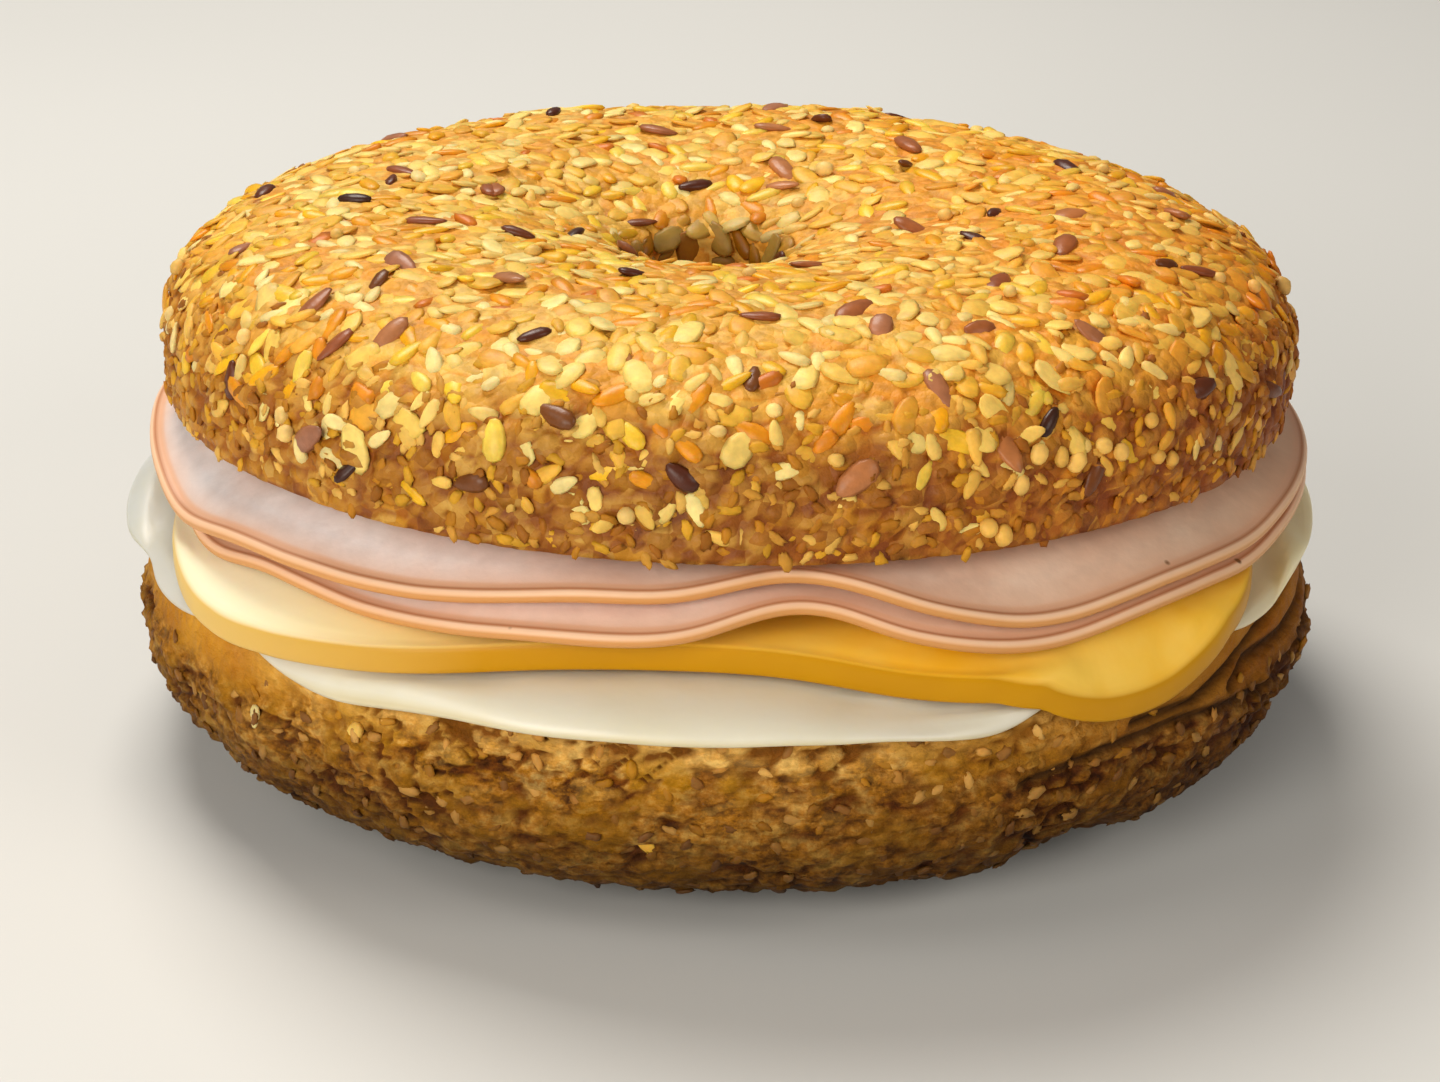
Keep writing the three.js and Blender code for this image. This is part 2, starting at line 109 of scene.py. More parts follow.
# The middle of the lower half's hole is the middle of the bagel's own frame.
OPENINGS = frame["record"]["physics"]["openings"]
HOLE_BOX = next(opening["box_m"] for opening in OPENINGS if opening["name"] == "bottom_hole")
MIDDLE = METRE * np.array(HOLE_BOX).mean(axis=0) * (1, 1, 0)

# ---- camera, in millimetres

PHOTO = (1440, 1082)  # pixels
FOCAL_LENGTH = 85
SENSOR = 36
NEAREST = 10
ELEVATION = math.radians(24.5)
ROLL = math.radians(0.6)
DISTANCE = 332
TARGET = Vector((-0.57, 0, 16))

forward = Vector((0, math.cos(ELEVATION), -math.sin(ELEVATION)))
level_up = Vector((0, math.sin(ELEVATION), math.cos(ELEVATION)))
camera_right = Vector((1, 0, 0)) * math.cos(ROLL) + level_up * math.sin(ROLL)
camera_up = level_up * math.cos(ROLL) - Vector((1, 0, 0)) * math.sin(ROLL)
camera_place = TARGET - forward * DISTANCE


def add_object(name, data):
    added = bpy.data.objects.new(name, data)
    bpy.context.scene.collection.objects.link(added)
    return added


def add_camera():
    data = bpy.data.cameras.new("camera")
    data.lens = FOCAL_LENGTH
    data.sensor_width = SENSOR
    data.clip_start = NEAREST / METRE
    camera = add_object("camera", data)
    turn = Matrix((camera_right, camera_up, -forward)).transposed().to_4x4()
    camera.matrix_world = Matrix.Translation((camera_place + Vector(MIDDLE)) / METRE) @ turn
    bpy.context.scene.camera = camera


def seen_at(tree, pixel):
    """Where the line of sight through a pixel of the photo's frame meets a surface."""
    pixels_per_slope = PHOTO[0] * FOCAL_LENGTH / SENSOR
    across = (pixel[0] - PHOTO[0] / 2) / pixels_per_slope
    down = (pixel[1] - PHOTO[1] / 2) / pixels_per_slope
    sight = forward + camera_right * across - camera_up * down
    return tree.ray_cast(camera_place, sight.normalized())


# ---- number helpers

TINY = 1e-4
TONE_MIX = (12.9, 78.2, 37.7)  # spreads the tones of neighbouring chips
TONE_SPREAD = 43.7


def smooth(value, low, high):
    """0 below low, 1 above high, and a smooth step between them."""
    share = np.clip((np.asarray(value, float) - low) / (high - low), 0, 1)
    return share * share * (3 - 2 * share)


def hump(azimuth, centre, width):
    """A single smooth hump in azimuth, 1 at its centre."""
    away = (azimuth - centre + 180) % 360 - 180
    return np.exp(-((away / width) ** 2))


def humps(azimuth, hills):
    """Humps added up, each given as (amount, azimuth, width)."""
    return sum(amount * hump(azimuth, centre, width) for amount, centre, width in hills)


def soft_least(first, second, power):
    """The lesser of two lengths, with the kink between them rounded off."""
    first, second = np.maximum(first, TINY), np.maximum(second, TINY)
    return (first ** -power + second ** -power) ** (-1 / power)


def lumps(points, size, offset):
    """Smooth lumps of about one size, between about -1 and 1, at each point."""
    scaled = points.reshape(-1, 3) / size + offset
    return np.array([noise.noise(spot) for spot in scaled]).reshape(points.shape[:-1])


def swells(points, hills, start=0):
    """Lumps of several sizes, each given as (amount, size, offset), on top of a start."""
    return sum((amount * lumps(points, size, offset) for amount, size, offset in hills), start)


def cells(points, size, offset):
    """Chips of about one size: how far from a chip's middle each point lies, how far from its border,
    both in chip sizes, and a random tone that is the same all over a chip."""
    scaled = points.reshape(-1, 3) / size + offset
    found = [noise.voronoi(spot) for spot in scaled]
    near, second = np.array([distances[:2] for distances, _ in found]).T
    middles = np.array([spots[0] for _, spots in found])
    tone = (np.abs(np.sin(middles @ TONE_MIX)) * TONE_SPREAD) % 1
    shape = points.shape[:-1]
    return near.reshape(shape), (second - near).reshape(shape), tone.reshape(shape)


def oval_point(azimuth, reach):
    """The point at an azimuth on an oval that reaches so far to the sides."""
    angle = np.radians(azimuth)
    return reach * np.sin(angle), -OVAL * reach * np.cos(angle)


def all_round(count):
    """Azimuths evenly round the bagel."""
    return np.arange(count) * 360 / count


def azimuth_at(x, y):
    return np.degrees(np.arctan2(x, -y))


def half_width_at(x, y):
    """How far to the sides the oval through a point reaches."""
    return np.hypot(x, y / OVAL)


# ---- meshes

def add_mesh(name, points, faces, attributes=None):
    """A smooth mesh from points in the bagel's frame. Attributes hold a value or a colour a point."""
    mesh = bpy.data.meshes.new(name)
    mesh.from_pydata(((points + MIDDLE) / METRE).tolist(), [], faces)
    mesh.shade_smooth()
    for label, values in (attributes or {}).items():
        values = np.asarray(values, np.float32)
        if values.ndim == 2:
            layer = mesh.attributes.new(label, "FLOAT_COLOR", "POINT")
            layer.data.foreach_set("color", np.column_stack([values, np.ones(len(values))]).ravel())
        else:
            layer = mesh.attributes.new(label, "FLOAT", "POINT")
            layer.data.foreach_set("value", values)
    return add_object(name, mesh)


def facing_out(points, faces):
    """The faces, turned round if they point into the body that they close."""
    quads = np.array([face if len(face) == 4 else (*face, face[2]) for face in faces])
    a, b, c, d = (points[quads[:, i]] for i in range(4))
    volume = np.einsum("ij,ij->", a, np.cross(b, c)) + np.einsum("ij,ij->", a, np.cross(c, d))
    return faces if volume > 0 else [tuple(reversed(face)) for face in faces]


def grid_faces(rows, columns, round_rows):
    """Quads of a grid closed round its columns, and round its rows too where round_rows is true."""
    index = np.arange(rows * columns).reshape(rows, columns)
    right = np.roll(index, -1, axis=1)
    quads = np.stack([index, right, np.roll(right, -1, axis=0), np.roll(index, -1, axis=0)], -1)
    if not round_rows:
        quads = quads[:-1]
    return [tuple(quad) for quad in quads.reshape(-1, 4).tolist()]


def capped_faces(rows, columns):
    """Faces of a grid closed round its columns and fanned out from a pole at each end. The two poles
    follow the grid's points."""
    faces = grid_faces(rows, columns, round_rows=False)
    pole, last = rows * columns, (rows - 1) * columns
    for column in range(columns):
        after = (column + 1) % columns
        faces += [(pole, after, column), (pole + 1, last + column, last + after)]
    return faces


def unit(vectors):
    return vectors / np.linalg.norm(vectors, axis=1, keepdims=True)


def pick_piece(piece, slot, *nodes):
    """Every visible piece rides on the one body, and the imported parts that it stands in for are hidden.
    """
    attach(piece, "root")
    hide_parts(*nodes)
    return piece


# ---- materials

def srgb(red, green, blue):
    """A colour given as 0 to 255 sRGB values, as the linear values that shaders take."""
    return tuple(((value / 255 + 0.055) / 1.055) ** 2.4 if value > 10 else value / 255 / 12.92
                 for value in (red, green, blue))


PLAIN = (1.0, 1.0, 1.0)
ACROSS = (-50, 50)  # span in X over which the crusts change colour, in millimetres


class Look:
    """A material and short ways of adding procedural nodes to it."""

    def __init__(self, name, **sockets):
        self.material = bpy.data.materials.new(name)
        self.material.use_nodes = True
        self.tree = self.material.node_tree
        self.shader = self.tree.nodes["Principled BSDF"]
        for socket, value in sockets.items():
            self.shader.inputs[socket.replace("_", " ")].default_value = value
        self.place = self.add("ShaderNodeTexCoord").outputs["Object"]

    def add(self, kind, inputs=None, **settings):
        node = self.tree.nodes.new(kind)
        for key, value in settings.items():
            setattr(node, key, value)
        for key, value in (inputs or {}).items():
            if isinstance(value, bpy.types.NodeSocket):
                self.tree.links.new(value, node.inputs[key])
            else:
                node.inputs[key].default_value = value
        return node

    def noise(self, size, detail=3.0, roughness=0.55, stretch=None):
        """Noise whose largest features are about size millimetres."""
        place = self.place
        if stretch:
            place = self.add("ShaderNodeMapping", {"Vector": place, "Scale": stretch}).outputs["Vector"]
        scale = {"Vector": place, "Scale": METRE / size, "Detail": detail, "Roughness": roughness}
        return self.add("ShaderNodeTexNoise", scale).outputs["Fac"]

    def cells(self, size, output="Distance"):
        """Distance from the middle of a cell of about size millimetres, or the cell's random Color."""
        place = {"Vector": self.place, "Scale": METRE / size}
        return self.add("ShaderNodeTexVoronoi", place).outputs[output]

    def grains(self, size, fine):
        """Heights of rounded grains of about size millimetres with finer unevenness on top."""
        dome = self.ramp(self.cells(size), (0.0, 1.0), (0.7, 0.0))
        return self.mix(0.35, dome, self.noise(fine, 4))

    def along(self, axis, start, end):
        """0 at start and 1 at end, both in millimetres along an axis."""
        place = self.add("ShaderNodeSeparateXYZ", {"Vector": self.place}).outputs[axis]
        limits = {"Value": place, "From Min": start / METRE, "From Max": end / METRE}
        return self.add("ShaderNodeMapRange", limits).outputs["Result"]

    def height(self):
        """0 on the floor and 1 at the lower half's rim."""
        return self.along("Z", 0, BASE.rim_height)

    def toasting_and_right_shade(self):
        """An overall golden tint of the crust, with painted shade on the right side: darker and more
        orange towards the right.
        """
        return self.ramp(self.along("X", *ACROSS), (0.0, (0.84, 0.78, 0.56)),
                         (0.45, (0.84, 0.79, 0.54)), (0.8, (0.88, 0.68, 0.25)), (1.0, (0.7, 0.45, 0.12)))

    def painted_shade_below(self):
        """Painted shade: the lower half is darker and browner towards the floor."""
        return self.ramp(self.height(), (0.05, (0.08, 0.06, 0.025)), (0.45, (0.33, 0.27, 0.13)),
                         (0.7, (0.62, 0.52, 0.3)), (0.88, (1.0, 0.94, 0.68)))

    def value(self, label):
        """A mesh attribute that holds a value a point."""
        return self.add("ShaderNodeAttribute", attribute_name=label).outputs["Fac"]

    def colour(self, label):
        """A mesh attribute that holds a colour a point."""
        return self.add("ShaderNodeAttribute", attribute_name=label).outputs["Color"]

    def ramp(self, factor, *stops):
        """Colours by factor. Each stop is (position, colour or grey level)."""
        node = self.add("ShaderNodeValToRGB", {"Fac": factor})
        elements = node.color_ramp.elements
        while len(elements) < len(stops):
            elements.new(0.5)
        for element, (position, colour) in zip(elements, stops):
            element.position = position
            element.color = (*colour, 1) if isinstance(colour, tuple) else (colour, colour, colour, 1)
        return node.outputs["Color"]

    def hues(self, factor, *stops):
        """Colours by factor. Each stop is (position, red, green, blue), the colour in sRGB."""
        return self.ramp(factor, *((position, srgb(*colour)) for position, *colour in stops))

    def mix(self, factor, first, second, blend="MIX"):
        """From first to second by factor, each a socket or a fixed value."""
        node = self.add("ShaderNodeMix", data_type="RGBA", blend_type=blend)
        pairs = ((node.inputs[0], factor), (node.inputs[6], first), (node.inputs[7], second))
        for socket, value in pairs:
            if isinstance(value, bpy.types.NodeSocket):
                self.tree.links.new(value, socket)
            else:
                socket.default_value = (*value, 1) if isinstance(value, tuple) else value
        return node.outputs[2]

    def times(self, colour, *others):
        for other in others:
            colour = self.mix(1.0, colour, other, "MULTIPLY")
        return colour

    def paint(self, colour):
        self.tree.links.new(colour, self.shader.inputs["Base Color"])

    def bump(self, height, depth):
        """Bump of about depth millimetres."""
        node = self.add("ShaderNodeBump", {"Height": height, "Distance": depth / METRE, "Strength": 1.0})
        self.tree.links.new(node.outputs["Normal"], self.shader.inputs["Normal"])


def wear(piece, look):
    piece.data.materials.append(look.material)


# ---- bread surfaces

def quarter(start, end, power, count=60):
    """Quarter superellipse from start, where it is upright, to end, where it is level."""
    angle = np.linspace(0, math.pi / 2, count)
    across = np.cos(angle) ** (2 / power)
    rise = np.sin(angle) ** (2 / power)
    return np.column_stack([end[0] + (start[0] - end[0]) * across, start[1] + (end[1] - start[1]) * rise])


class Skin:
    """A revolved profile, sampled evenly by its length, with its outward normals. side is 1 where the
    bread lies to the left of the profile's way and -1 where it lies to the right."""

    SAMPLES = 400
    SMOOTHING = 6  # samples to each side over which the normals are evened out

    def __init__(self, points, side):
        steps = np.hypot(*np.diff(points, axis=0).T)
        reached = np.concatenate([[0], np.cumsum(steps)])
        self.share = np.linspace(0, 1, self.SAMPLES)
        spots = [np.interp(self.share, reached / reached[-1], points[:, axis]) for axis in (0, 1)]
        self.radius, self.height = spots
        along = np.gradient(np.column_stack(spots), axis=0)
        window = np.ones(2 * self.SMOOTHING + 1) / (2 * self.SMOOTHING + 1)
        along = np.array([np.convolve(np.pad(part, self.SMOOTHING, "edge"), window, "valid")
                          for part in along.T])
        along /= np.hypot(*along)
        self.across = side * along[1]
        self.up = -side * along[0]

    def at(self, share, azimuth):
        radius, height, across, up = (np.interp(share, self.share, column)
                                      for column in (self.radius, self.height, self.across, self.up))
        angle = np.radians(azimuth)
        x, y = oval_point(azimuth, radius)
        points = np.stack([x, y, height], -1)
        normals = np.stack([across * np.sin(angle), -across * np.cos(angle), up], -1)
        return points, normals, radius


def crown_outline():
    crest = (CROWN.crest_radius, CROWN.height)
    flank = quarter((CROWN.reach, CROWN.widest_at), crest, CROWN.bulge)
    lip = quarter((CROWN.hole_radius, CROWN.throat_at), crest, CROWN.lip_bulge)[::-1]
    return np.vstack([[(CROWN.cut_reach, 0)], flank, lip[1:], [(CROWN.hole_radius + CROWN.hole_flare, 0)]])


def base_outline():
    bowl = quarter((BASE.reach, BASE.widest_at), (BASE.flat_reach, 0), BASE.bulge)
    return np.vstack([[(BASE.rim_reach, BASE.rim_height)], bowl])


CROWN_SKIN = Skin(crown_outline(), 1)
BASE_SKIN = Skin(base_outline(), -1)
CROWN_TURN = np.array(Matrix.Rotation(CROWN.tip_back, 3, "X")
                      @ Matrix.Rotation(CROWN.tip_right, 3, "Y"))

# Relief of the crusts. Swells are (amount, size, offset), chips are (size along each axis, offset).
CROWN_SWELLS = ((0.7, 17, 3.3), (0.5, 7.5, 8.1))
CROWN_CHIPS = ((2.6, 2.6, 1.8), 5.7)
CROWN_DEPTH = 0.6
BASE_SWELLS = ((0.9, 15, 2.1), (0.7, 7.5, 5.3))
BASE_CHIPS = ((4.0, 4.0, 1.7), 9.2)
BASE_FINE_CHIPS = ((2.0, 2.0, 0.95), 4.7)
BASE_DEPTH = 0.85
BASE_BEND = 0.9
BEND_OFFSETS = (1.3, 5.9, 8.8)
HOLE_MARGIN = 5
HOLE_FADE = (-0.5, 2.5)  # heights over the throat between which the hole's wall ends


def hole_nearness(radius):
    """1 beside the hole and 0 well away from it."""
    return smooth(CROWN.shift_from - radius, 0, CROWN.shift_from - CROWN.shift_whole)


def in_hole(points):
    """1 on the hole's wall in the upper half and 0 outside it."""
    away = np.hypot(points[..., 0] - CROWN.hole_shift, points[..., 1])
    fade = (CROWN.throat_at + step for step in HOLE_FADE)
    return (away < CROWN.hole_radius + HOLE_MARGIN) * (1 - smooth(points[..., 2], *fade))


def shifted_crown(share, azimuth):
    """Points and normals on the upper half's skin, with its hole moved off the middle."""
    points, normals, radius = CROWN_SKIN.at(share, azimuth)
    points[..., 0] += CROWN.hole_shift * hole_nearness(radius)
    return points, normals


def seated_crown(points):
    """The points, tipped and lifted to where the upper half lies."""
    return points @ CROWN_TURN.T + (0, 0, CROWN.cut_height)


def crown_at(share, azimuth):
    """Points and outward normals on the upper half's crust, how deep in a crevice each point lies, and
    the tone of its chip. share runs from the cut over the top and down the hole."""
    share, azimuth = np.broadcast_arrays(share, azimuth)
    points, normals = shifted_crown(share, azimuth)
    swell = swells(points, CROWN_SWELLS, CROWN.lean * points[..., 0])
    swell *= smooth(share, 0, 0.12) * smooth(1 - share, 0, 0.06)
    near, border, tone = cells(points, *CROWN_CHIPS)
    crumbly = 0.3 + 0.7 * (1 - smooth(share, 0.1, 0.24))
    crag = np.clip(near * 1.2, 0, 1.2) - 0.45 + 0.35 * lumps(points, 1.7, 1.9)
    # The hole's wall gets a higher crag: deeper relief, and through the crag attribute painted shade on
    # the wall.
    crag = crag + 0.5 * (1 - smooth(border, 0, 0.2)) + 0.7 * in_hole(points)
    at_cut = 0.35 + 0.65 * smooth(share, 0, 0.03)
    relief = -CROWN_DEPTH * crumbly * crag * at_cut * smooth(1 - share, 0, 0.02)
    points = seated_crown(points + normals * (swell + relief)[..., None])
    return points, normals @ CROWN_TURN.T, crag * crumbly, tone


# Creases in the lower half's crust at the right and the left, each a chain of (azimuth, height).
CREASES = (
    ((27, 14.8), (36.5, 15.9), (45.5, 15.8), (53, 14.9), (60.5, 13.6), (68, 14.4), (80, 15.0)),
    ((40, 17.4), (48.5, 16.8), (56, 18.4), (68, 20.2), (78, 21.2)),
    ((54, 16.2), (58, 17.6), (66, 17.0), (74.8, 17.3), (86, 18.2)),
    ((-84, 17.2), (-73, 15.6), (-62, 15.2), (-52, 17.0), (-46, 19.6)),
)
CREASE_WIDTH = 0.55
CREASE_DEPTH = 0.9


def crease_at(azimuth, height):
    """1 in the middle of a crease, 0 away from one."""
    along = np.radians(BASE.reach)
    deepest = np.zeros(np.shape(azimuth))
    for chain in CREASES:
        for (a, low), (b, high) in zip(chain, chain[1:]):
            run = np.array([(b - a) * along, high - low])
            offset = np.stack([(azimuth - a) * along, height - low], -1)
            share = np.clip(offset @ run / (run @ run), 0, 1)
            away = np.linalg.norm(offset - share[..., None] * run, axis=-1)
            deepest = np.maximum(deepest, np.exp(-((away / CREASE_WIDTH) ** 2)))
    return deepest


# Smooth bands of the lower half's crust: azimuth, width, and the heights between which they set in.
LEFT_BAND = (-66, 20, 15.2, 17.5)
RIGHT_BAND = (64, 27, 14.6, 16.4)
BACK_BAND = (160, 35, 16, 18.5)


def band_at(azimuth, height, band, strength=1):
    centre, width, low, high = band
    return np.minimum(1, strength * hump(azimuth, centre, width)) * smooth(height, low, high)


def smooth_band_at(azimuth, height):
    """1 where the lower half's crust is smooth, in bands under the filling, and 0 elsewhere."""
    left, behind = band_at(azimuth, height, LEFT_BAND), band_at(azimuth, height, BACK_BAND)
    return np.clip(left * 1.3 + band_at(azimuth, height, RIGHT_BAND, 1.6) + 0.8 * behind, 0, 1)


def pressed_down(azimuth, reach, height):
    """How far the lower half's rim is pressed down by the corner of the yellow slice."""
    outwards = smooth(reach, BASE.dent_from, BASE.rim_reach)
    upwards = (np.maximum(height, 0) / BASE.rim_height) ** BASE.dent_power
    return humps(azimuth, RIM_DENTS) * outwards * upwards


def base_at(share, azimuth):
    """Points and outward normals on the lower half's crust, and its crags, smooth bands, creases and
    tones. share runs from the rim down to the flat underside."""
    share, azimuth = np.broadcast_arrays(share, azimuth)
    points, normals, radius = BASE_SKIN.at(share, azimuth)
    height = points[..., 2]
    band = smooth_band_at(azimuth, height)
    crease = crease_at(azimuth, height)
    swell = swells(points, BASE_SWELLS)
    bent = points + BASE_BEND * np.stack([lumps(points, 4, offset) for offset in BEND_OFFSETS], -1)
    near, border, tone = cells(bent, *BASE_CHIPS)
    fine, _, fine_tone = cells(bent, *BASE_FINE_CHIPS)
    cracked = smooth(lumps(points, 8, 6.1), -0.05, 0.35)
    crag = 0.45 * np.clip(near * 1.25, 0, 1.3) - 0.3 + 0.35 * lumps(points, 2.4, 4.4)
    crag = crag + 0.7 * cracked * (1 - smooth(border, 0, 0.15)) + 0.95 * (fine - 0.45)
    tone = 0.5 * tone + 0.5 * fine_tone
    swell = swell * smooth(height, 0.2, 5) * (1 - 0.5 * band) * smooth(share, 0, 0.12)
    relief = -BASE_DEPTH * (1 - 0.88 * band) * crag - CREASE_DEPTH * crease
    relief = relief * smooth(height, 0.4, 3) * smooth(share, 0, 0.03)
    points = points + normals * (swell + relief)[..., None]
    points[..., 2] -= pressed_down(azimuth, radius, height)
    return points, normals, crag * (1 - band), band, crease, tone


def bread_mesh(name, skin, hidden, values):
    """Closes the skin's rings of points and the hidden rings behind them into a ring-shaped body. values
    gives each attribute as a value for each point of the skin and one for all the hidden points."""
    rings = np.concatenate([skin, hidden])
    rows, columns, _ = rings.shape
    points = rings.reshape(-1, 3)
    faces = facing_out(points, grid_faces(rows, columns, round_rows=True))
    attributes = {label: np.append(seen, np.full(hidden.shape[:2], unseen))
                  for label, (seen, unseen) in values.items()}
    return add_mesh(name, points, faces, attributes), points, faces


CROWN_ROWS, CROWN_COLUMNS = 138, 620
BASE_ROWS, BASE_COLUMNS = 110, 700
CUT_ROWS = 10
CUT_LUMPS = ((0.25, 2.1, 7.7),)
HIDDEN_CRAG, HIDDEN_TONE = 0.2, 0.5

# (radius, height) across the lower half's underside, up its hole and over its cut.
BASE_WALL = (
    (19, 0), (11, 0), (9.2, 1), (7.8, 3), (7.3, 6), (7.2, 9), (7.2, 13), (7.4, 18), (7.5, 21.2),
    (7.9, 21.5), (16, 21.5), (24, 21.5), (33, 21.5), (42, 21.5), (46, 21.5), (49, 21.5), (52, 21.5)
)
WALL_LUMPS = (3.1, 6.6)
WALL_DEPTH = 0.35


def crown_crust():
    azimuth = all_round(CROWN_COLUMNS)
    share = np.linspace(0, 1, CROWN_ROWS)
    rings, _, crag, tone = crown_at(share[:, None], azimuth[None, :])
    out = np.linspace(0, 1, CUT_ROWS + 2)[1:-1, None, None]
    cut = rings[-1] * (1 - out) + rings[0] * out
    cut[..., 2] += swells(cut, CUT_LUMPS)
    crumbly = 1 - smooth(share, 0.08, 0.24)[:, None] * np.ones(CROWN_COLUMNS)
    values = {"crag": (crag, HIDDEN_CRAG), "crumbly": (crumbly, 1.0), "tone": (tone, HIDDEN_TONE)}
    return bread_mesh("top_crust", rings, cut, values)


def base_crust():
    azimuth = all_round(BASE_COLUMNS)
    share = np.linspace(0, 1, BASE_ROWS)
    rings, _, crag, band, crease, tone = base_at(share[:, None], azimuth[None, :])
    wall = []
    for radius, height in BASE_WALL:
        x, y = oval_point(azimuth, radius)
        ring = np.stack([x, y, height - pressed_down(azimuth, radius, height)], -1)
        if 0 < height < BASE.rim_height:
            ring[:, :2] *= 1 - WALL_DEPTH / radius * lumps(ring, *WALL_LUMPS)[:, None]
        wall.append(ring)
    values = {"crag": (crag, HIDDEN_CRAG), "band": (band, 0.0), "crease": (crease, 0.0),
              "tone": (tone, HIDDEN_TONE)}
    return bread_mesh("bottom_crust", rings, np.array(wall), values)


# ---- filling surfaces

def white_reach(azimuth):
    """The soft cheese has spread past the bread in lobes."""
    return WHITE.reach + humps(azimuth, WHITE_LOBES)


def white_edge(azimuth, share):
    """The point so far out in the soft cheese, where 1 is its edge and rim_share the rim of the bread."""
    edge = white_reach(azimuth)
    rim = np.minimum(WHITE.overhang_from, edge - WHITE.least_edge)
    rim_share = WHITE.rim_share
    past = rim + (edge - rim) * (share - rim_share) / (1 - rim_share)
    return oval_point(azimuth, np.where(share <= rim_share, share / rim_share * rim, past))


def white_under(x, y):
    """Level on the bread, and hanging a little past its rim."""
    azimuth = azimuth_at(x, y)
    reach = half_width_at(x, y)
    past = np.maximum(0, reach - WHITE.overhang_from)
    hang = WHITE.hang + humps(azimuth, WHITE_HANGS)
    return WHITE_UNDER - pressed_down(azimuth, reach, BASE.rim_height) - past * hang


def yellow_reach(azimuth):
    """Distance from the middle to the yellow slice's edge: a rounded square, inside an oval."""
    angle = np.radians(azimuth - YELLOW.turn)
    side = np.where(np.sin(angle) > 0, YELLOW.right, YELLOW.left)
    depth = np.where(np.cos(angle) > 0, YELLOW.front, YELLOW.back)
    power = YELLOW.corner
    across, ahead = np.abs(np.sin(angle)) / side, np.abs(np.cos(angle)) / depth
    square = (across ** power + ahead ** power) ** (-1 / power)
    return soft_least(square, np.hypot(*oval_point(azimuth, YELLOW.within)), YELLOW.corner_power)


def yellow_edge(azimuth, share):
    angle = np.radians(azimuth)
    reach = share * yellow_reach(azimuth)
    return reach * np.sin(angle), -reach * np.cos(angle)


def yellow_sag(x, y):
    """How far the yellow slice has bent down: it sinks into the soft cheese and hangs free past it."""
    azimuth = azimuth_at(x, y)
    bending = ROUNDED_FROM * yellow_reach(azimuth) - YELLOW.sag_from
    share = np.clip((np.hypot(x, y) - YELLOW.sag_from) / bending, 0, 1)
    free = humps(azimuth, YELLOW_SAGS) * share ** 3
    depth = WHITE_TOP + WHITE.slope * y - white_under(x, y) - WHITE.thinnest
    rests_to = np.maximum(BASE.rim_reach, white_reach(azimuth) + YELLOW.clear)
    past = np.maximum(0, half_width_at(x, y) - rests_to)
    return soft_least(free, depth / WHITE.yielding + YELLOW.free_fall * past, YELLOW.rest_power)


def yellow_level(start):
    return lambda x, y: start + YELLOW.slope * y - yellow_sag(x, y)


def white_over(x, y):
    """Pressed down under the yellow slice. In front of it a bare ledge rolls over to the rim."""
    azimuth = azimuth_at(x, y)
    bare = np.maximum(0, np.hypot(x, y) - yellow_reach(azimuth))
    swell = humps(azimuth, WHITE_SWELLS) * smooth(bare, *WHITE.swell_from)
    rolled = WHITE.ledge_fall * (bare / WHITE.ledge_width) ** WHITE.ledge_power
    fall = WHITE.yielding * yellow_sag(x, y) + rolled
    return np.maximum(WHITE_TOP + WHITE.slope * y + swell - fall, white_under(x, y) + WHITE.thinnest)


def ham_reach(order, azimuth):
    return HAM.reach + humps(azimuth, HAM_DRAWS[order])


def ham_edge(order):
    return lambda azimuth, share: oval_point(azimuth, share * ham_reach(order, azimuth))


def ham_level(order, start):
    """Along the cut of the bread above, and hanging down in waves at the rim."""
    def level(x, y):
        azimuth = azimuth_at(x, y)
        bending = ROUNDED_FROM * ham_reach(order, azimuth) - HAM.sag_from
        share = np.clip((half_width_at(x, y) - HAM.sag_from) / bending, 0, 1)
        sag = HAM.sag + HAM.front_sag * np.cos(np.radians(azimuth))
        sag = sag - humps(azimuth, HAM_WAVES[order])
        return start + CROWN.tip_back * y - CROWN.tip_right * x - sag * share ** 2
    return level


FACE_ROWS, RIM_ROWS, SLAB_COLUMNS = 16, 12, 480
INNERMOST = 0.06  # share of the way out where the rows of a face start
CROWDING = 1.6  # how much closer together the rows lie towards the rim
RIPPLE_SIZE, RIPPLE_OFFSET = 6, 3.9
FLAT_LEVEL = -0.99  # only the underside lies lower, and it has no ripples


def slab_stations(rim, power):
    """Shares of the way out, and levels from -1 to 1, from the underside round the rim to the top."""
    inner = rim * (1 - (1 - np.linspace(INNERMOST, 1, FACE_ROWS)) ** CROWDING)
    angle = np.linspace(-math.pi / 2, math.pi / 2, RIM_ROWS + 2)[1:-1]
    share = rim + (1 - rim) * np.cos(angle) ** (2 / power)
    level = np.sign(angle) * np.abs(np.sin(angle)) ** (2 / power)
    face = np.ones(FACE_ROWS)
    return np.concatenate([inner, share, inner[::-1]]), np.concatenate([-face, level, face])


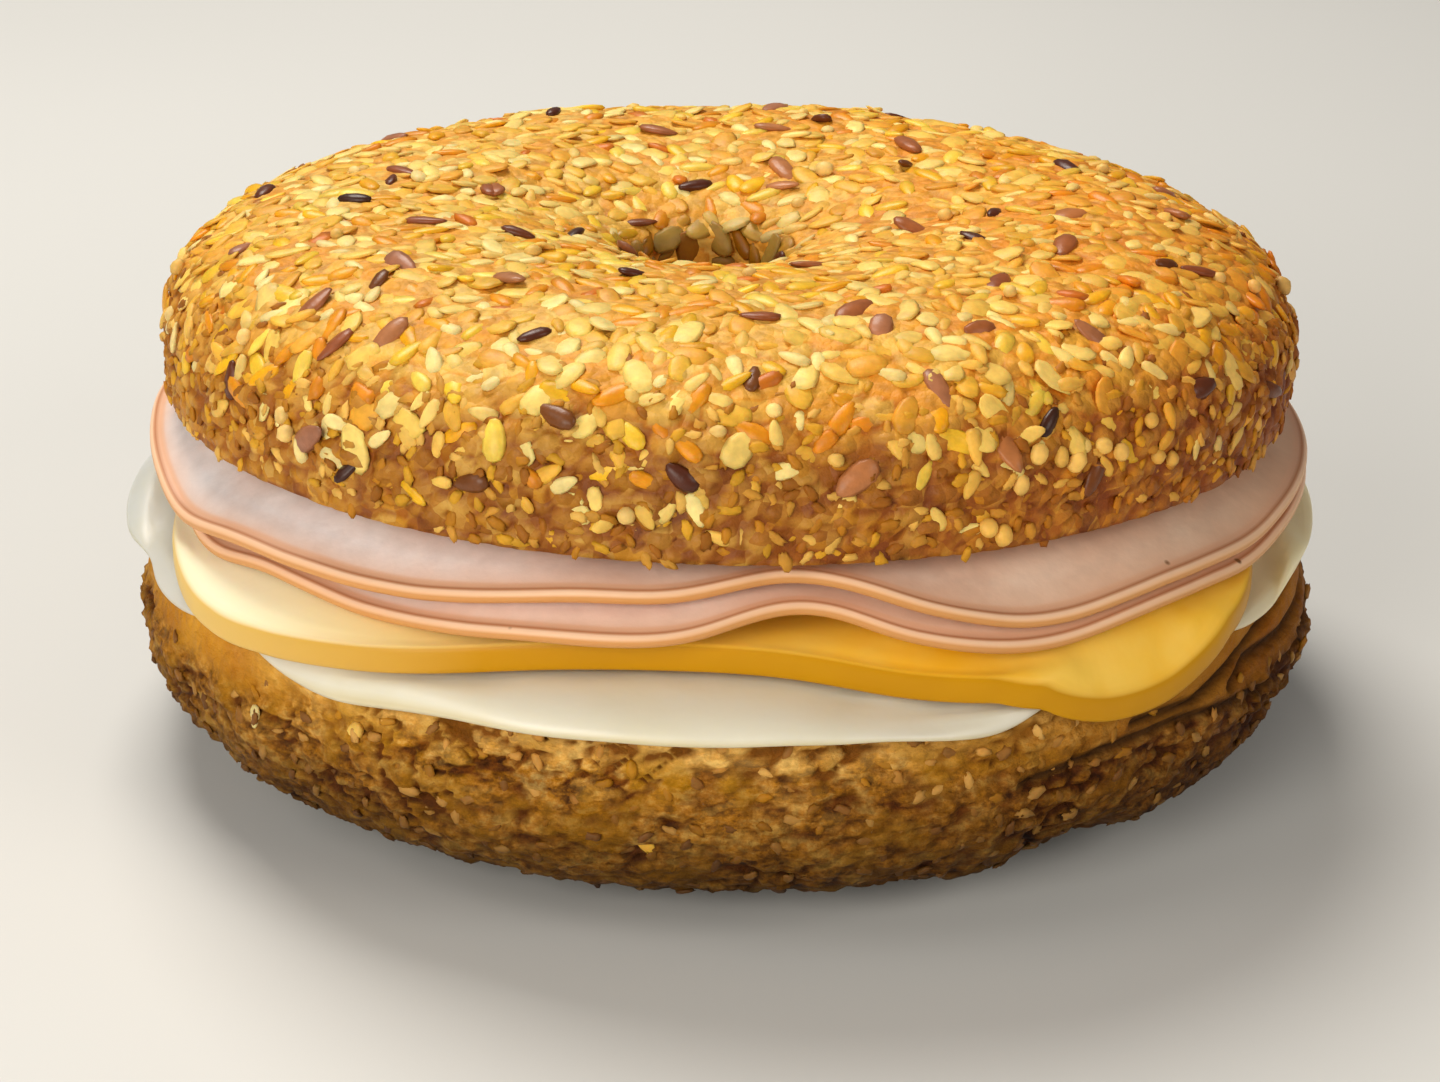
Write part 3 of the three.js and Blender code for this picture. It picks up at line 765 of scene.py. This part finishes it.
def slab(name, edge, under, over, rim, power, ripple=0.0):
    """A slice between two height functions, whose rim is rounded from the share rim on."""
    share, level = slab_stations(rim, power)
    azimuth = all_round(SLAB_COLUMNS)
    share, azimuth = np.broadcast_arrays(share[:, None], azimuth[None, :])
    x, y = edge(azimuth, share)
    low, high = under(x, y), over(x, y)
    height = low + (high - low) * (level[:, None] + 1) / 2
    if ripple:
        flat = np.stack([x, y, height], -1)
        height = height + ripple * (level[:, None] > FLAT_LEVEL) * lumps(flat, RIPPLE_SIZE, RIPPLE_OFFSET)
    grid = np.stack([x, y, height], -1)
    middle_x, middle_y = edge(np.zeros(1), np.zeros(1))
    poles = [[middle_x[0], middle_y[0], face(middle_x, middle_y)[0]] for face in (under, over)]
    points = np.vstack([grid.reshape(-1, 3), poles])
    faces = capped_faces(len(level), SLAB_COLUMNS)
    outward = np.append(share.reshape(-1), [0, 0])
    facing = np.append(np.broadcast_to(level[:, None], share.shape).reshape(-1), [-1, 1])
    return add_mesh(name, points, facing_out(points, faces), {"outward": outward, "facing": facing})


# ---- seeds

RANDOM_START = 20
random = np.random.default_rng(RANDOM_START)

SEED_RINGS, SEED_SIDES = 6, 8
SIZE_RANGE, STRETCH_RANGE, TINT_RANGE = (0.82, 1.15), (0.9, 1.1), (0.88, 1.08)
LIFT, LIFT_RANGE = 0.2, (-0.12, 0.2)  # over the skin, in thicknesses of the seed
TILT = 0.13
HOLE_SHADE = (0.62, 0.7, 0.85)  # how much red, green and blue a seed loses inside the hole
TRIES = 14  # places tried for each seed that is wanted


def seed_shape(taper, blunt):
    """A unit seed along X, round at -0.5 and drawn to a point at 0.5."""
    sides = SEED_SIDES
    turn = np.linspace(0, math.pi, SEED_RINGS + 1)[1:-1]
    x = -0.5 * np.cos(turn)
    girth = 0.5 * np.sin(turn) ** blunt * (1 - taper * (x + 0.5))
    around = np.linspace(0, 2 * math.pi, sides, endpoint=False)
    rows = np.stack([np.broadcast_to(x[:, None], (len(x), sides)), girth[:, None] * np.cos(around),
                     girth[:, None] * np.sin(around)], -1)
    points = np.vstack([rows.reshape(-1, 3), [(-0.5, 0, 0), (0.5, 0, 0)]])
    return points, facing_out(points, capped_faces(len(x), sides))


# size is length, width and thickness, and sunk is how deep a seed lies in the crust, in thicknesses.
Kind = namedtuple("Kind", "size taper blunt curl uneven sunk roughness shine translucence")
KINDS = {
    "sesame": Kind((2.8, 1.8, 0.9), 0.5, 0.9, 0.05, 0.02, 0.38, 0.5, 0.0, 0.2),
    "golden_flax": Kind((3.8, 2.1, 0.9), 0.35, 0.95, 0.05, 0.02, 0.42, 0.42, 0.1, 0.2),
    "brown_flax": Kind((4.5, 2.7, 1.1), 0.4, 0.95, 0.03, 0.03, 0.2, 0.4, 0.12, 0.0),
    "dark_flax": Kind((3.6, 2.0, 1.1), 0.35, 0.95, 0.03, 0.03, 0.2, 0.38, 0.15, 0.0),
    "flakes": Kind((3.6, 2.6, 0.6), 0.2, 0.8, 0.2, 0.06, 0.42, 0.5, 0.05, 0.2),
    "millet": Kind((1.7, 1.5, 1.3), 0.05, 1.0, 0.0, 0.03, 0.1, 0.5, 0.0, 0.12),
    "cracked_grain": Kind((2.8, 2.0, 1.1), 0.3, 0.8, 0.1, 0.08, 0.4, 0.45, 0.08, 0.12),
    "crumbs": Kind((1.6, 1.0, 0.6), 0.2, 0.85, 0.1, 0.15, 0.4, 0.6, 0.0, 0.08),
}

# sRGB colours that each kind is drawn from, evenly.
TINTS = {
    "sesame": ((254, 222, 140), (248, 204, 108), (255, 236, 176), (242, 188, 76)),
    "golden_flax": ((250, 196, 36), (244, 178, 22), (252, 210, 66), (238, 158, 24), (252, 220, 100)),
    "brown_flax": ((170, 104, 70), (150, 84, 54), (186, 124, 88), (176, 120, 100)),
    "dark_flax": ((84, 40, 26), (104, 54, 32), (68, 36, 28), (120, 70, 34)),
    "flakes": ((255, 232, 160), (250, 212, 112), (244, 194, 76), (254, 224, 140), (240, 178, 66)),
    "millet": ((250, 216, 146), (244, 204, 122), (252, 226, 164)),
    "cracked_grain": ((232, 148, 30), (240, 170, 36), (218, 126, 28), (244, 190, 54)),
    "crumbs": ((212, 156, 64), (192, 130, 28), (236, 190, 104), (166, 104, 22), (220, 166, 44)),
}
BASE_TINTS = (
    (186, 134, 64), (204, 152, 82), (188, 132, 16), (154, 106, 50), (226, 178, 108), (176, 124, 34)
)


class Bed:
    """Remembers where seeds lie, so that the next one keeps its distance."""

    CELL = 3.0

    def __init__(self):
        self.filled = {}

    def take(self, spot, gap):
        """Books a place and says whether it was free."""
        key = tuple(int(math.floor(value / self.CELL)) for value in spot)
        near = math.ceil(gap / self.CELL)
        for dx in range(-near, near + 1):
            for dy in range(-near, near + 1):
                for dz in range(-near, near + 1):
                    for other in self.filled.get((key[0] + dx, key[1] + dy, key[2] + dz), ()):
                        if sum((a - b) ** 2 for a, b in zip(spot, other)) < gap * gap:
                            return False
        self.filled.setdefault(key, []).append(spot)
        return True


def strewn(surface, skin, count, gap, likely, bed, span):
    """Places and normals of things thrown over a skin, as densely as likely(share, azimuth) says."""
    tries = TRIES * count
    share = random.uniform(*span, tries)
    azimuth = random.uniform(-180, 180, tries)
    radius = np.interp(share, skin.share, skin.radius)
    wanted = random.uniform(0, 1, tries) < radius / skin.radius.max() * likely(share, azimuth)
    share, azimuth = share[wanted], azimuth[wanted]
    points, normals = surface(share, azimuth)[:2]
    kept = []
    for index, spot in enumerate(points.tolist()):
        if len(kept) == count:
            break
        if bed.take(spot, gap):
            kept.append(index)
    return points[kept], normals[kept]


def scatter_mesh(name, kind, places, normals, tints):
    """One mesh of many seeds of a kind, each lying on the skin at a slight tilt of its own."""
    shade = 1 - np.outer(in_hole(places - (0, 0, CROWN.cut_height)), HOLE_SHADE)
    facts = KINDS[kind]
    shape, faces = seed_shape(facts.taper, facts.blunt)
    count = len(places)
    sizes = np.array(facts.size) * random.uniform(*SIZE_RANGE, (count, 1))
    sizes = sizes * random.uniform(*STRETCH_RANGE, (count, 3))
    points = shape[None] * (1 + facts.uneven * random.normal(0, 1, (count, len(shape), 1)))
    points = points * sizes[:, None, :]
    curl = facts.curl * random.uniform(-1, 1, (count, 1))
    points[..., 2] += curl * (points[..., 0] ** 2 / sizes[:, None, 0] - sizes[:, None, 0] / 12)
    normals = unit(normals + random.normal(0, TILT, normals.shape))
    side = unit(np.cross(normals, random.normal(0, 1, normals.shape)))
    across = np.cross(normals, side)
    lift = sizes[:, 2:] * (LIFT - facts.sunk + random.uniform(*LIFT_RANGE, (count, 1)))
    basis = np.stack([side, across, normals], 1)
    world = np.einsum("nvi,nij->nvj", points, basis) + (places + normals * lift)[:, None, :]
    step = len(shape)
    joined = [tuple(corner + step * index for corner in face)
              for index in range(count) for face in faces]
    palette = np.array([srgb(*tint) for tint in tints])
    chosen = palette[random.integers(0, len(palette), count)]
    tint = np.repeat(chosen * random.uniform(*TINT_RANGE, (count, 1)) * shade, step, axis=0)
    tip = np.tile(shape[:, 0] + 0.5, count)
    return add_mesh(name, world.reshape(-1, 3), joined, {"tint": tint, "tip": tip})


# ---- the look of each material

BREAD_GLOW = (1.0, 0.5, 0.2)
LAYERED = (1, 1, 1.8)  # stretches noise into flat flakes


def crown_look():
    look = Look("baked_crust", Roughness=0.55, Specular_IOR_Level=0.3, Subsurface_Weight=0.06,
                Subsurface_Scale=0.001, Subsurface_Radius=BREAD_GLOW)
    baked = look.hues(look.noise(13, 3), (0.3, 250, 196, 100), (0.5, 238, 160, 56), (0.72, 252, 202, 104))
    flaky = look.hues(look.value("tone"), (0.1, 252, 220, 124), (0.4, 242, 178, 66), (0.65, 236, 164, 50),
                      (0.9, 254, 230, 146))
    speckle = look.ramp(look.noise(1.4, 4), (0.34, 0.74), (0.6, 1.06))
    baked = look.times(look.mix(0.5, baked, flaky), speckle)
    crumb = look.hues(look.noise(3.5, 5), (0.3, 124, 70, 8), (0.43, 176, 112, 22), (0.56, 200, 136, 46),
                      (0.72, 232, 182, 98))
    flecks = look.hues(look.cells(1.5, "Color"), (0.15, 240, 178, 50), (0.4, 168, 108, 34),
                       (0.6, 206, 146, 70), (0.85, 246, 206, 134))
    # Painted light: the crumbs of the lower band are lighter towards the left, where the light falls, and
    # darker and more orange elsewhere.
    painted_light_leftward = look.ramp(look.along("X", *ACROSS), (0.05, (1.0, 1.0, 0.8)), (0.35, (0.8, 0.74, 0.5)))
    crumb = look.times(look.mix(0.5, crumb, flecks), painted_light_leftward)
    crust = look.mix(look.value("crumbly"), baked, crumb)
    # Painted shade in the crevices and on the hole's wall, as deep as the crag attribute says.
    painted_crevice_shade = look.ramp(look.value("crag"), (0.1, PLAIN), (0.6, (0.66, 0.46, 0.2)))
    # The toasting ramp adds painted shade on the right side.
    look.paint(look.times(crust, painted_crevice_shade, look.toasting_and_right_shade()))
    look.bump(look.grains(1.5, 0.7), 0.55)
    return look


def base_look():
    look = Look("craggy_crust", Roughness=0.65, Specular_IOR_Level=0.12, Subsurface_Weight=0.04,
                Subsurface_Scale=0.001, Subsurface_Radius=BREAD_GLOW)
    mottled = look.hues(look.noise(6.5, 5, 0.65, LAYERED), (0.37, 104, 62, 22), (0.44, 180, 128, 52),
                        (0.5, 186, 132, 4), (0.56, 206, 150, 74), (0.63, 248, 208, 144))
    chips = look.hues(look.value("tone"), (0.15, 96, 58, 26), (0.32, 190, 134, 4), (0.5, 224, 172, 98),
                      (0.65, 140, 94, 44), (0.8, 255, 220, 160))
    flecks = look.hues(look.noise(2.2, 5, 0.7, LAYERED), (0.4, 84, 48, 14), (0.46, 192, 136, 12),
                       (0.53, 228, 174, 102), (0.6, 255, 224, 168))
    mottled = look.mix(0.5, look.mix(0.5, mottled, chips), flecks)
    speckle = look.ramp(look.noise(0.9, 5), (0.36, (0.58, 0.52, 0.36)), (0.6, (1.1, 1.05, 0.84)))
    olive = look.ramp(look.noise(5, 3), (0.48, 0.0), (0.6, 0.55))
    mottled = look.mix(olive, look.times(mottled, speckle), srgb(188, 138, 0))
    at_rim = look.ramp(look.height(), (0.8, 0.0), (0.97, 0.6))
    mottled = look.mix(at_rim, mottled, srgb(232, 190, 124))
    # Painted shade in the crevices and cracks, as deep as the crag attribute says.
    painted_crevice_shade = look.ramp(look.value("crag"), (0.02, PLAIN), (0.5, (0.36, 0.23, 0.09)))
    golden = look.hues(look.noise(9, 4), (0.3, 188, 122, 26), (0.55, 212, 154, 54), (0.75, 214, 164, 84))
    crust = look.mix(look.value("band"), look.times(mottled, painted_crevice_shade), golden)
    # Painted shade: darker and browner towards the right side, away from the light, and towards the floor.
    rightward = look.ramp(look.along("X", 0, 55), (0.0, PLAIN), (1.0, (0.56, 0.45, 0.34)))
    crust = look.times(crust, look.painted_shade_below(), rightward)
    # Painted shade in the creases: near black along each crease.
    look.paint(look.mix(look.value("crease"), crust, srgb(52, 28, 6)))
    layers = look.noise(1.8, 5, 0.7, (1, 1, 1.6))
    look.bump(look.mix(0.5, look.grains(1.6, 0.8), layers), 0.9)
    return look


def white_look():
    look = Look("soft_white_cheese", Roughness=0.36, Subsurface_Weight=0.3, Subsurface_Scale=0.003,
                Subsurface_Radius=(1.0, 0.85, 0.55), Coat_Weight=0.12, Coat_Roughness=0.3)
    cream = look.hues(look.noise(11, 3), (0.3, 220, 212, 184), (0.6, 227, 222, 204))
    # Painted shade: the underside and lower rim are darker and yellower than the top.
    edge = look.hues(look.value("facing"), (0.0, 206, 186, 126), (0.45, 228, 222, 202))
    # Painted shade on the left and painted light on the right: darker and bluer at the far left, lighter
    # and warmer at the far right.
    painted_shade_left_light_right = look.ramp(look.along("X", -56, 58), (0.0, (0.7, 0.76, 0.88)), (0.2, PLAIN), (0.85, PLAIN),
                       (0.95, (1.3, 1.14, 0.82)))
    look.paint(look.times(look.mix(0.5, cream, edge), painted_shade_left_light_right))
    look.bump(look.noise(5, 3), 0.12)
    return look


def yellow_look():
    look = Look("sliced_yellow_cheese", Roughness=0.4, Subsurface_Weight=0.12, Subsurface_Scale=0.0015,
                Subsurface_Radius=(1.0, 0.6, 0.1), Specular_IOR_Level=0.2)
    # The slice's side is painted a deeper, darker yellow than its top face: painted shade.
    body = look.hues(look.noise(14, 3), (0.3, 194, 136, 0), (0.65, 202, 144, 0))
    # Painted sheen: the side is paler and creamier towards the left.
    pale = look.ramp(look.along("X", -52, -20), (0.0, 0.75), (1.0, 0.0))
    body = look.mix(pale, body, srgb(236, 206, 126))
    face = look.hues(look.noise(10, 3), (0.3, 252, 190, 40), (0.65, 254, 206, 84))
    # Painted sheen: the top face is paler and whiter towards the left.
    rightward = look.along("X", -50, 10)
    painted_top_sheen = look.hues(rightward, (0.1, 252, 244, 212), (0.6, 248, 216, 120))
    face = look.mix(look.ramp(rightward, (0.2, 0.95), (1.0, 0.0)), face, painted_top_sheen)
    # The lighter top face and the darker side are lit and shaded copies of one cheese.
    on_top = look.ramp(look.value("facing"), (0.8, 0.0), (1.0, 1.0))
    look.paint(look.mix(on_top, body, face))
    look.bump(look.noise(2.5, 2), 0.05)
    return look


def ham_look():
    look = Look("cooked_ham", Roughness=0.42, Subsurface_Weight=0.15, Subsurface_Scale=0.0015,
                Subsurface_Radius=(1.0, 0.7, 0.55), Specular_IOR_Level=0.4)
    meat = look.hues(look.noise(12, 4), (0.28, 232, 202, 190), (0.5, 242, 220, 212), (0.72, 248, 234, 230))
    fine = look.ramp(look.noise(2.2, 3), (0.35, 0.94), (0.65, 1.03))
    # Painted light and shade: paler and pinker at the left, where the light falls, darker and browner
    # towards the right.
    painted_light_left_shade_right = look.ramp(look.along("X", -50, 54), (0.0, (0.9, 1.08, 1.2)), (0.3, PLAIN),
                      (0.7, (0.96, 0.86, 0.72)), (1.0, (0.82, 0.64, 0.45)))
    side = look.hues(look.value("facing"), (0.0, 210, 148, 84), (0.3, 232, 182, 138), (0.7, 240, 198, 164),
                     (0.88, 186, 122, 80), (0.97, 228, 178, 144))
    outward = look.ramp(look.value("outward"), (0.94, 0.0), (0.972, 0.5), (0.978, 1.0))
    meat = look.mix(outward, look.times(meat, fine, painted_light_left_shade_right), side)
    specks = look.ramp(look.cells(7), (0.035, 1.0), (0.06, 0.0))
    look.paint(look.mix(specks, meat, srgb(120, 78, 40)))
    look.bump(look.noise(1.4, 3), 0.05)
    return look


def seed_look(name, kind, in_painted_shade_below):
    """The look of a kind of seed. in_painted_shade_below paints it with the same painted shade towards the
    floor as the lower half's crust.
    """
    facts = KINDS[kind]
    look = Look(name, Roughness=facts.roughness, Specular_IOR_Level=0.25, Coat_Weight=facts.shine,
                Coat_Roughness=0.3, Subsurface_Weight=facts.translucence, Subsurface_Scale=0.0008)
    mottle = look.ramp(look.noise(1.2, 3), (0.3, 0.82), (0.65, 1.08))
    tip = look.ramp(look.value("tip"), (0.0, 0.86), (0.35, 1.0), (0.85, 1.0), (1.0, 0.8))
    # Painted shade: towards the floor on the lower half, and on the right side of the upper half together
    # with a golden tint.
    shading = look.painted_shade_below() if in_painted_shade_below else look.mix(0.3, look.toasting_and_right_shade(), (0.94, 0.86, 0.74))
    look.paint(look.times(look.colour("tint"), mottle, tip, shading))
    look.bump(look.noise(0.7, 2), 0.06)
    return look


# ---- the bagel

top_crust, top_points, top_faces = crown_crust()
wear(pick_piece(top_crust, "bread_top", "top_half"), crown_look())

bottom_crust, bottom_points, bottom_faces = base_crust()
wear(pick_piece(bottom_crust, "bread_bottom", "bottom_half"), base_look())

white = slab("white_cheese", white_edge, white_under, white_over, rim=0.9, power=2.2, ripple=0.12)
wear(pick_piece(white, "white_cheese", "white_layer"), white_look())

yellow = slab("yellow_slice", yellow_edge, yellow_level(YELLOW_UNDER), yellow_level(YELLOW_TOP),
              rim=0.985, power=3.5)
wear(pick_piece(yellow, "yellow_cheese", "yellow_cheese"), yellow_look())

ham = ham_look()
for order, node in enumerate(("ham_lower", "ham_upper")):
    under = HAM_UNDER + order * HAM_STEP
    over = under + HAM.thickness
    piece = slab(node + "_slice", ham_edge(order), ham_level(order, under), ham_level(order, over),
                 rim=0.975, power=2.6, ripple=0.1)
    wear(pick_piece(piece, "ham", node), ham)

# Seeds that stand out in the photo, at the pixels where they show.
SEEN = {
    "brown_flax": (
        (400, 265), (387, 338), (495, 190), (783, 187), (915, 230), (855, 312), (880, 330), (1090, 335),
        (940, 388), (1005, 447), (640, 222), (335, 345), (980, 330)
    ),
    "dark_flax": (
        (378, 283), (390, 180), (695, 187), (905, 165), (975, 238), (995, 212), (1050, 422), (1093, 478),
        (232, 380), (1270, 390), (470, 483), (350, 470), (820, 120), (575, 235), (1165, 265)
    ),
    "millet": (
        (1083, 445), (1103, 446), (1038, 454), (1061, 457), (1157, 456), (972, 437), (988, 528),
        (1002, 535), (1120, 452), (1075, 462)
    ),
    "cracked_grain": (
        (435, 325), (768, 382), (825, 443), (865, 425), (320, 350), (680, 180), (760, 215), (610, 195)
    ),
}
SEEN_ON_BASE = (352, 733)
BARE_PATCH = (905, 215)
BARE_RADIUS = 8.5
CRUST_LEAN = 0.6  # how far a seen seed follows the crust under it rather than the crown's swell
CROWN_HEART = np.array([CROWN.hole_shift, 0, CROWN.cut_height - 16])  # seen seeds face away from it
CROWN_SPAN = (0.02, 0.94)
TOP_CRUMBS = dict(count=1500, gap=1.0, span=(0.0, 0.3))
BOTTOM_CRUMBS = dict(count=1000, gap=1.8, span=(0.02, 0.62))
BOTTOM_SESAME = dict(count=7, gap=9, span=(0.05, 0.5))

crown_tree = BVHTree.FromPolygons(top_points.tolist(), top_faces)
bed = Bed()


def seen_places(kind):
    """Places and normals of the seeds of a kind that stand out in the photo."""
    hits = [seen_at(crown_tree, pixel) for pixel in SEEN[kind]]
    hits = [hit for hit in hits if hit[0] is not None]
    for hit in hits:
        bed.take(list(hit[0]), 0)
    places = np.array([hit[0] for hit in hits])
    normals = np.array([hit[1] for hit in hits]) * CRUST_LEAN + unit(places - CROWN_HEART)
    return places, unit(normals)


bare_centre = np.array(seen_at(crown_tree, BARE_PATCH)[0])


def crown_likely(low_band, patchiness, offset):
    """How likely a seed is to lie somewhere: rarer on the lower band and on the bare patch."""
    def likely(share, azimuth):
        points = seated_crown(shifted_crown(share, azimuth)[0])
        away = np.linalg.norm(points - bare_centre, axis=-1)
        bare = 1 - 0.9 * np.exp(-((away / BARE_RADIUS) ** 2))
        bare = bare * smooth(points[..., 2] - CROWN.cut_height, 3, 11)
        band = low_band + (1 - low_band) * smooth(share, 0.1, 0.27)
        patches = 1 - patchiness + patchiness * np.clip(0.5 + 1.6 * lumps(points, 14, offset), 0, 1)
        return bare * band * patches
    return likely


SPREAD = (
    # kind, how many, gap, likelihood on the lower band, patchiness, offset of the patches
    ("brown_flax", 26, 9.0, 0.4, 0.0, 0.0),
    ("dark_flax", 16, 9.0, 0.5, 0.0, 0.0),
    ("cracked_grain", 70, 3.6, 0.5, 0.3, 11.0),
    ("flakes", 640, 1.9, 0.16, 0.75, 3.0),
    ("golden_flax", 640, 1.7, 0.16, 0.75, 7.0),
    ("sesame", 900, 1.4, 0.3, 0.45, 19.0),
    ("millet", 120, 1.5, 0.8, 0.5, 23.0),
)


def low_likely(share, azimuth):
    """Crumbs lie on the lower band of the upper half."""
    return 1 - smooth(share, 0.1, 0.3)


def base_likely(share, azimuth):
    """Crumbs and seeds lie off the smooth bands of the lower half."""
    height = np.interp(share, BASE_SKIN.share, BASE_SKIN.height)
    return 1 - smooth_band_at(azimuth, height)


def lay(half, kind, places, normals, tints=None, in_painted_shade_below=False):
    """Seeds of a kind, in one piece that stands for a half of the bread together with its crust."""
    name = half + "_" + kind
    piece = scatter_mesh(name, kind, places, normals, tints or TINTS[kind])
    look = seed_look(kind if half == "top" else name, kind, in_painted_shade_below)
    wear(pick_piece(piece, "bread_" + half, half + "_half"), look)


for kind, count, gap, *likelihood in SPREAD:
    places, normals = strewn(crown_at, CROWN_SKIN, count, gap, crown_likely(*likelihood), bed, CROWN_SPAN)
    if kind in SEEN:
        seen, seen_normals = seen_places(kind)
        places, normals = np.vstack([seen, places]), np.vstack([seen_normals, normals])
    lay("top", kind, places, normals)

crumb_bed = Bed()
lay("top", "crumbs", *strewn(crown_at, CROWN_SKIN, likely=low_likely, bed=crumb_bed, **TOP_CRUMBS))
places, normals = strewn(base_at, BASE_SKIN, likely=base_likely, bed=crumb_bed, **BOTTOM_CRUMBS)
lay("bottom", "crumbs", places, normals, BASE_TINTS, in_painted_shade_below=True)

places, normals = strewn(base_at, BASE_SKIN, likely=base_likely, bed=Bed(), **BOTTOM_SESAME)
base_tree = BVHTree.FromPolygons(bottom_points.tolist(), bottom_faces)
seen, seen_normal = seen_at(base_tree, SEEN_ON_BASE)[:2]
lay("bottom", "sesame", np.vstack([[seen], places]), np.vstack([[seen_normal], normals]))


# ---- floor, light and camera

FLOOR_REACH = 3.0  # metres
LIGHTS = (
    # name, place and size in millimetres, watts, colour
    ("key", (-130, 250, 520), 300, 3.1, (1.0, 0.95, 0.87)),
    ("fill", (400, -280, 300), 300, 0.75, (1.0, 0.95, 0.86)),
    ("side", (-440, -170, 400), 260, 0.5, (1.0, 0.95, 0.88)),
    ("front", (-230, -440, 200), 320, 1.75, (1.0, 0.95, 0.86)),
)
SURROUNDINGS = (1.0, 0.98, 0.95, 1)
SURROUNDINGS_STRENGTH = 0.13


def add_floor():
    size = FLOOR_REACH
    corners = [(-size, -size, 0), (size, -size, 0), (size, size, 0), (-size, size, 0)]
    mesh = bpy.data.meshes.new("floor")
    mesh.from_pydata(corners, [], [(0, 1, 2, 3)])
    floor = add_object("floor", mesh)
    look = Look("pale_floor", Roughness=0.7)
    look.paint(look.hues(look.noise(300, 2), (0.3, 205, 205, 203), (0.7, 212, 212, 210)))
    mesh.materials.append(look.material)


def add_light(name, place, size, power, colour):
    """An area light at a place in millimetres, aimed at the filling."""
    data = bpy.data.lights.new(name, "AREA")
    data.shape = "DISK"
    data.size = size / METRE
    data.energy = power
    data.color = colour
    light = add_object(name, data)
    light.location = Vector(place) / METRE
    aim = Vector((0, 0, WHITE_TOP)) / METRE - light.location
    light.rotation_euler = aim.to_track_quat("-Z", "Y").to_euler()


add_floor()
for light in LIGHTS:
    add_light(*light)

world = bpy.data.worlds.new("studio")
bpy.context.scene.world = world
world.use_nodes = True
background = world.node_tree.nodes["Background"].inputs
background["Color"].default_value = SURROUNDINGS
background["Strength"].default_value = SURROUNDINGS_STRENGTH
bpy.context.scene.view_settings.view_transform = "Standard"
add_camera()
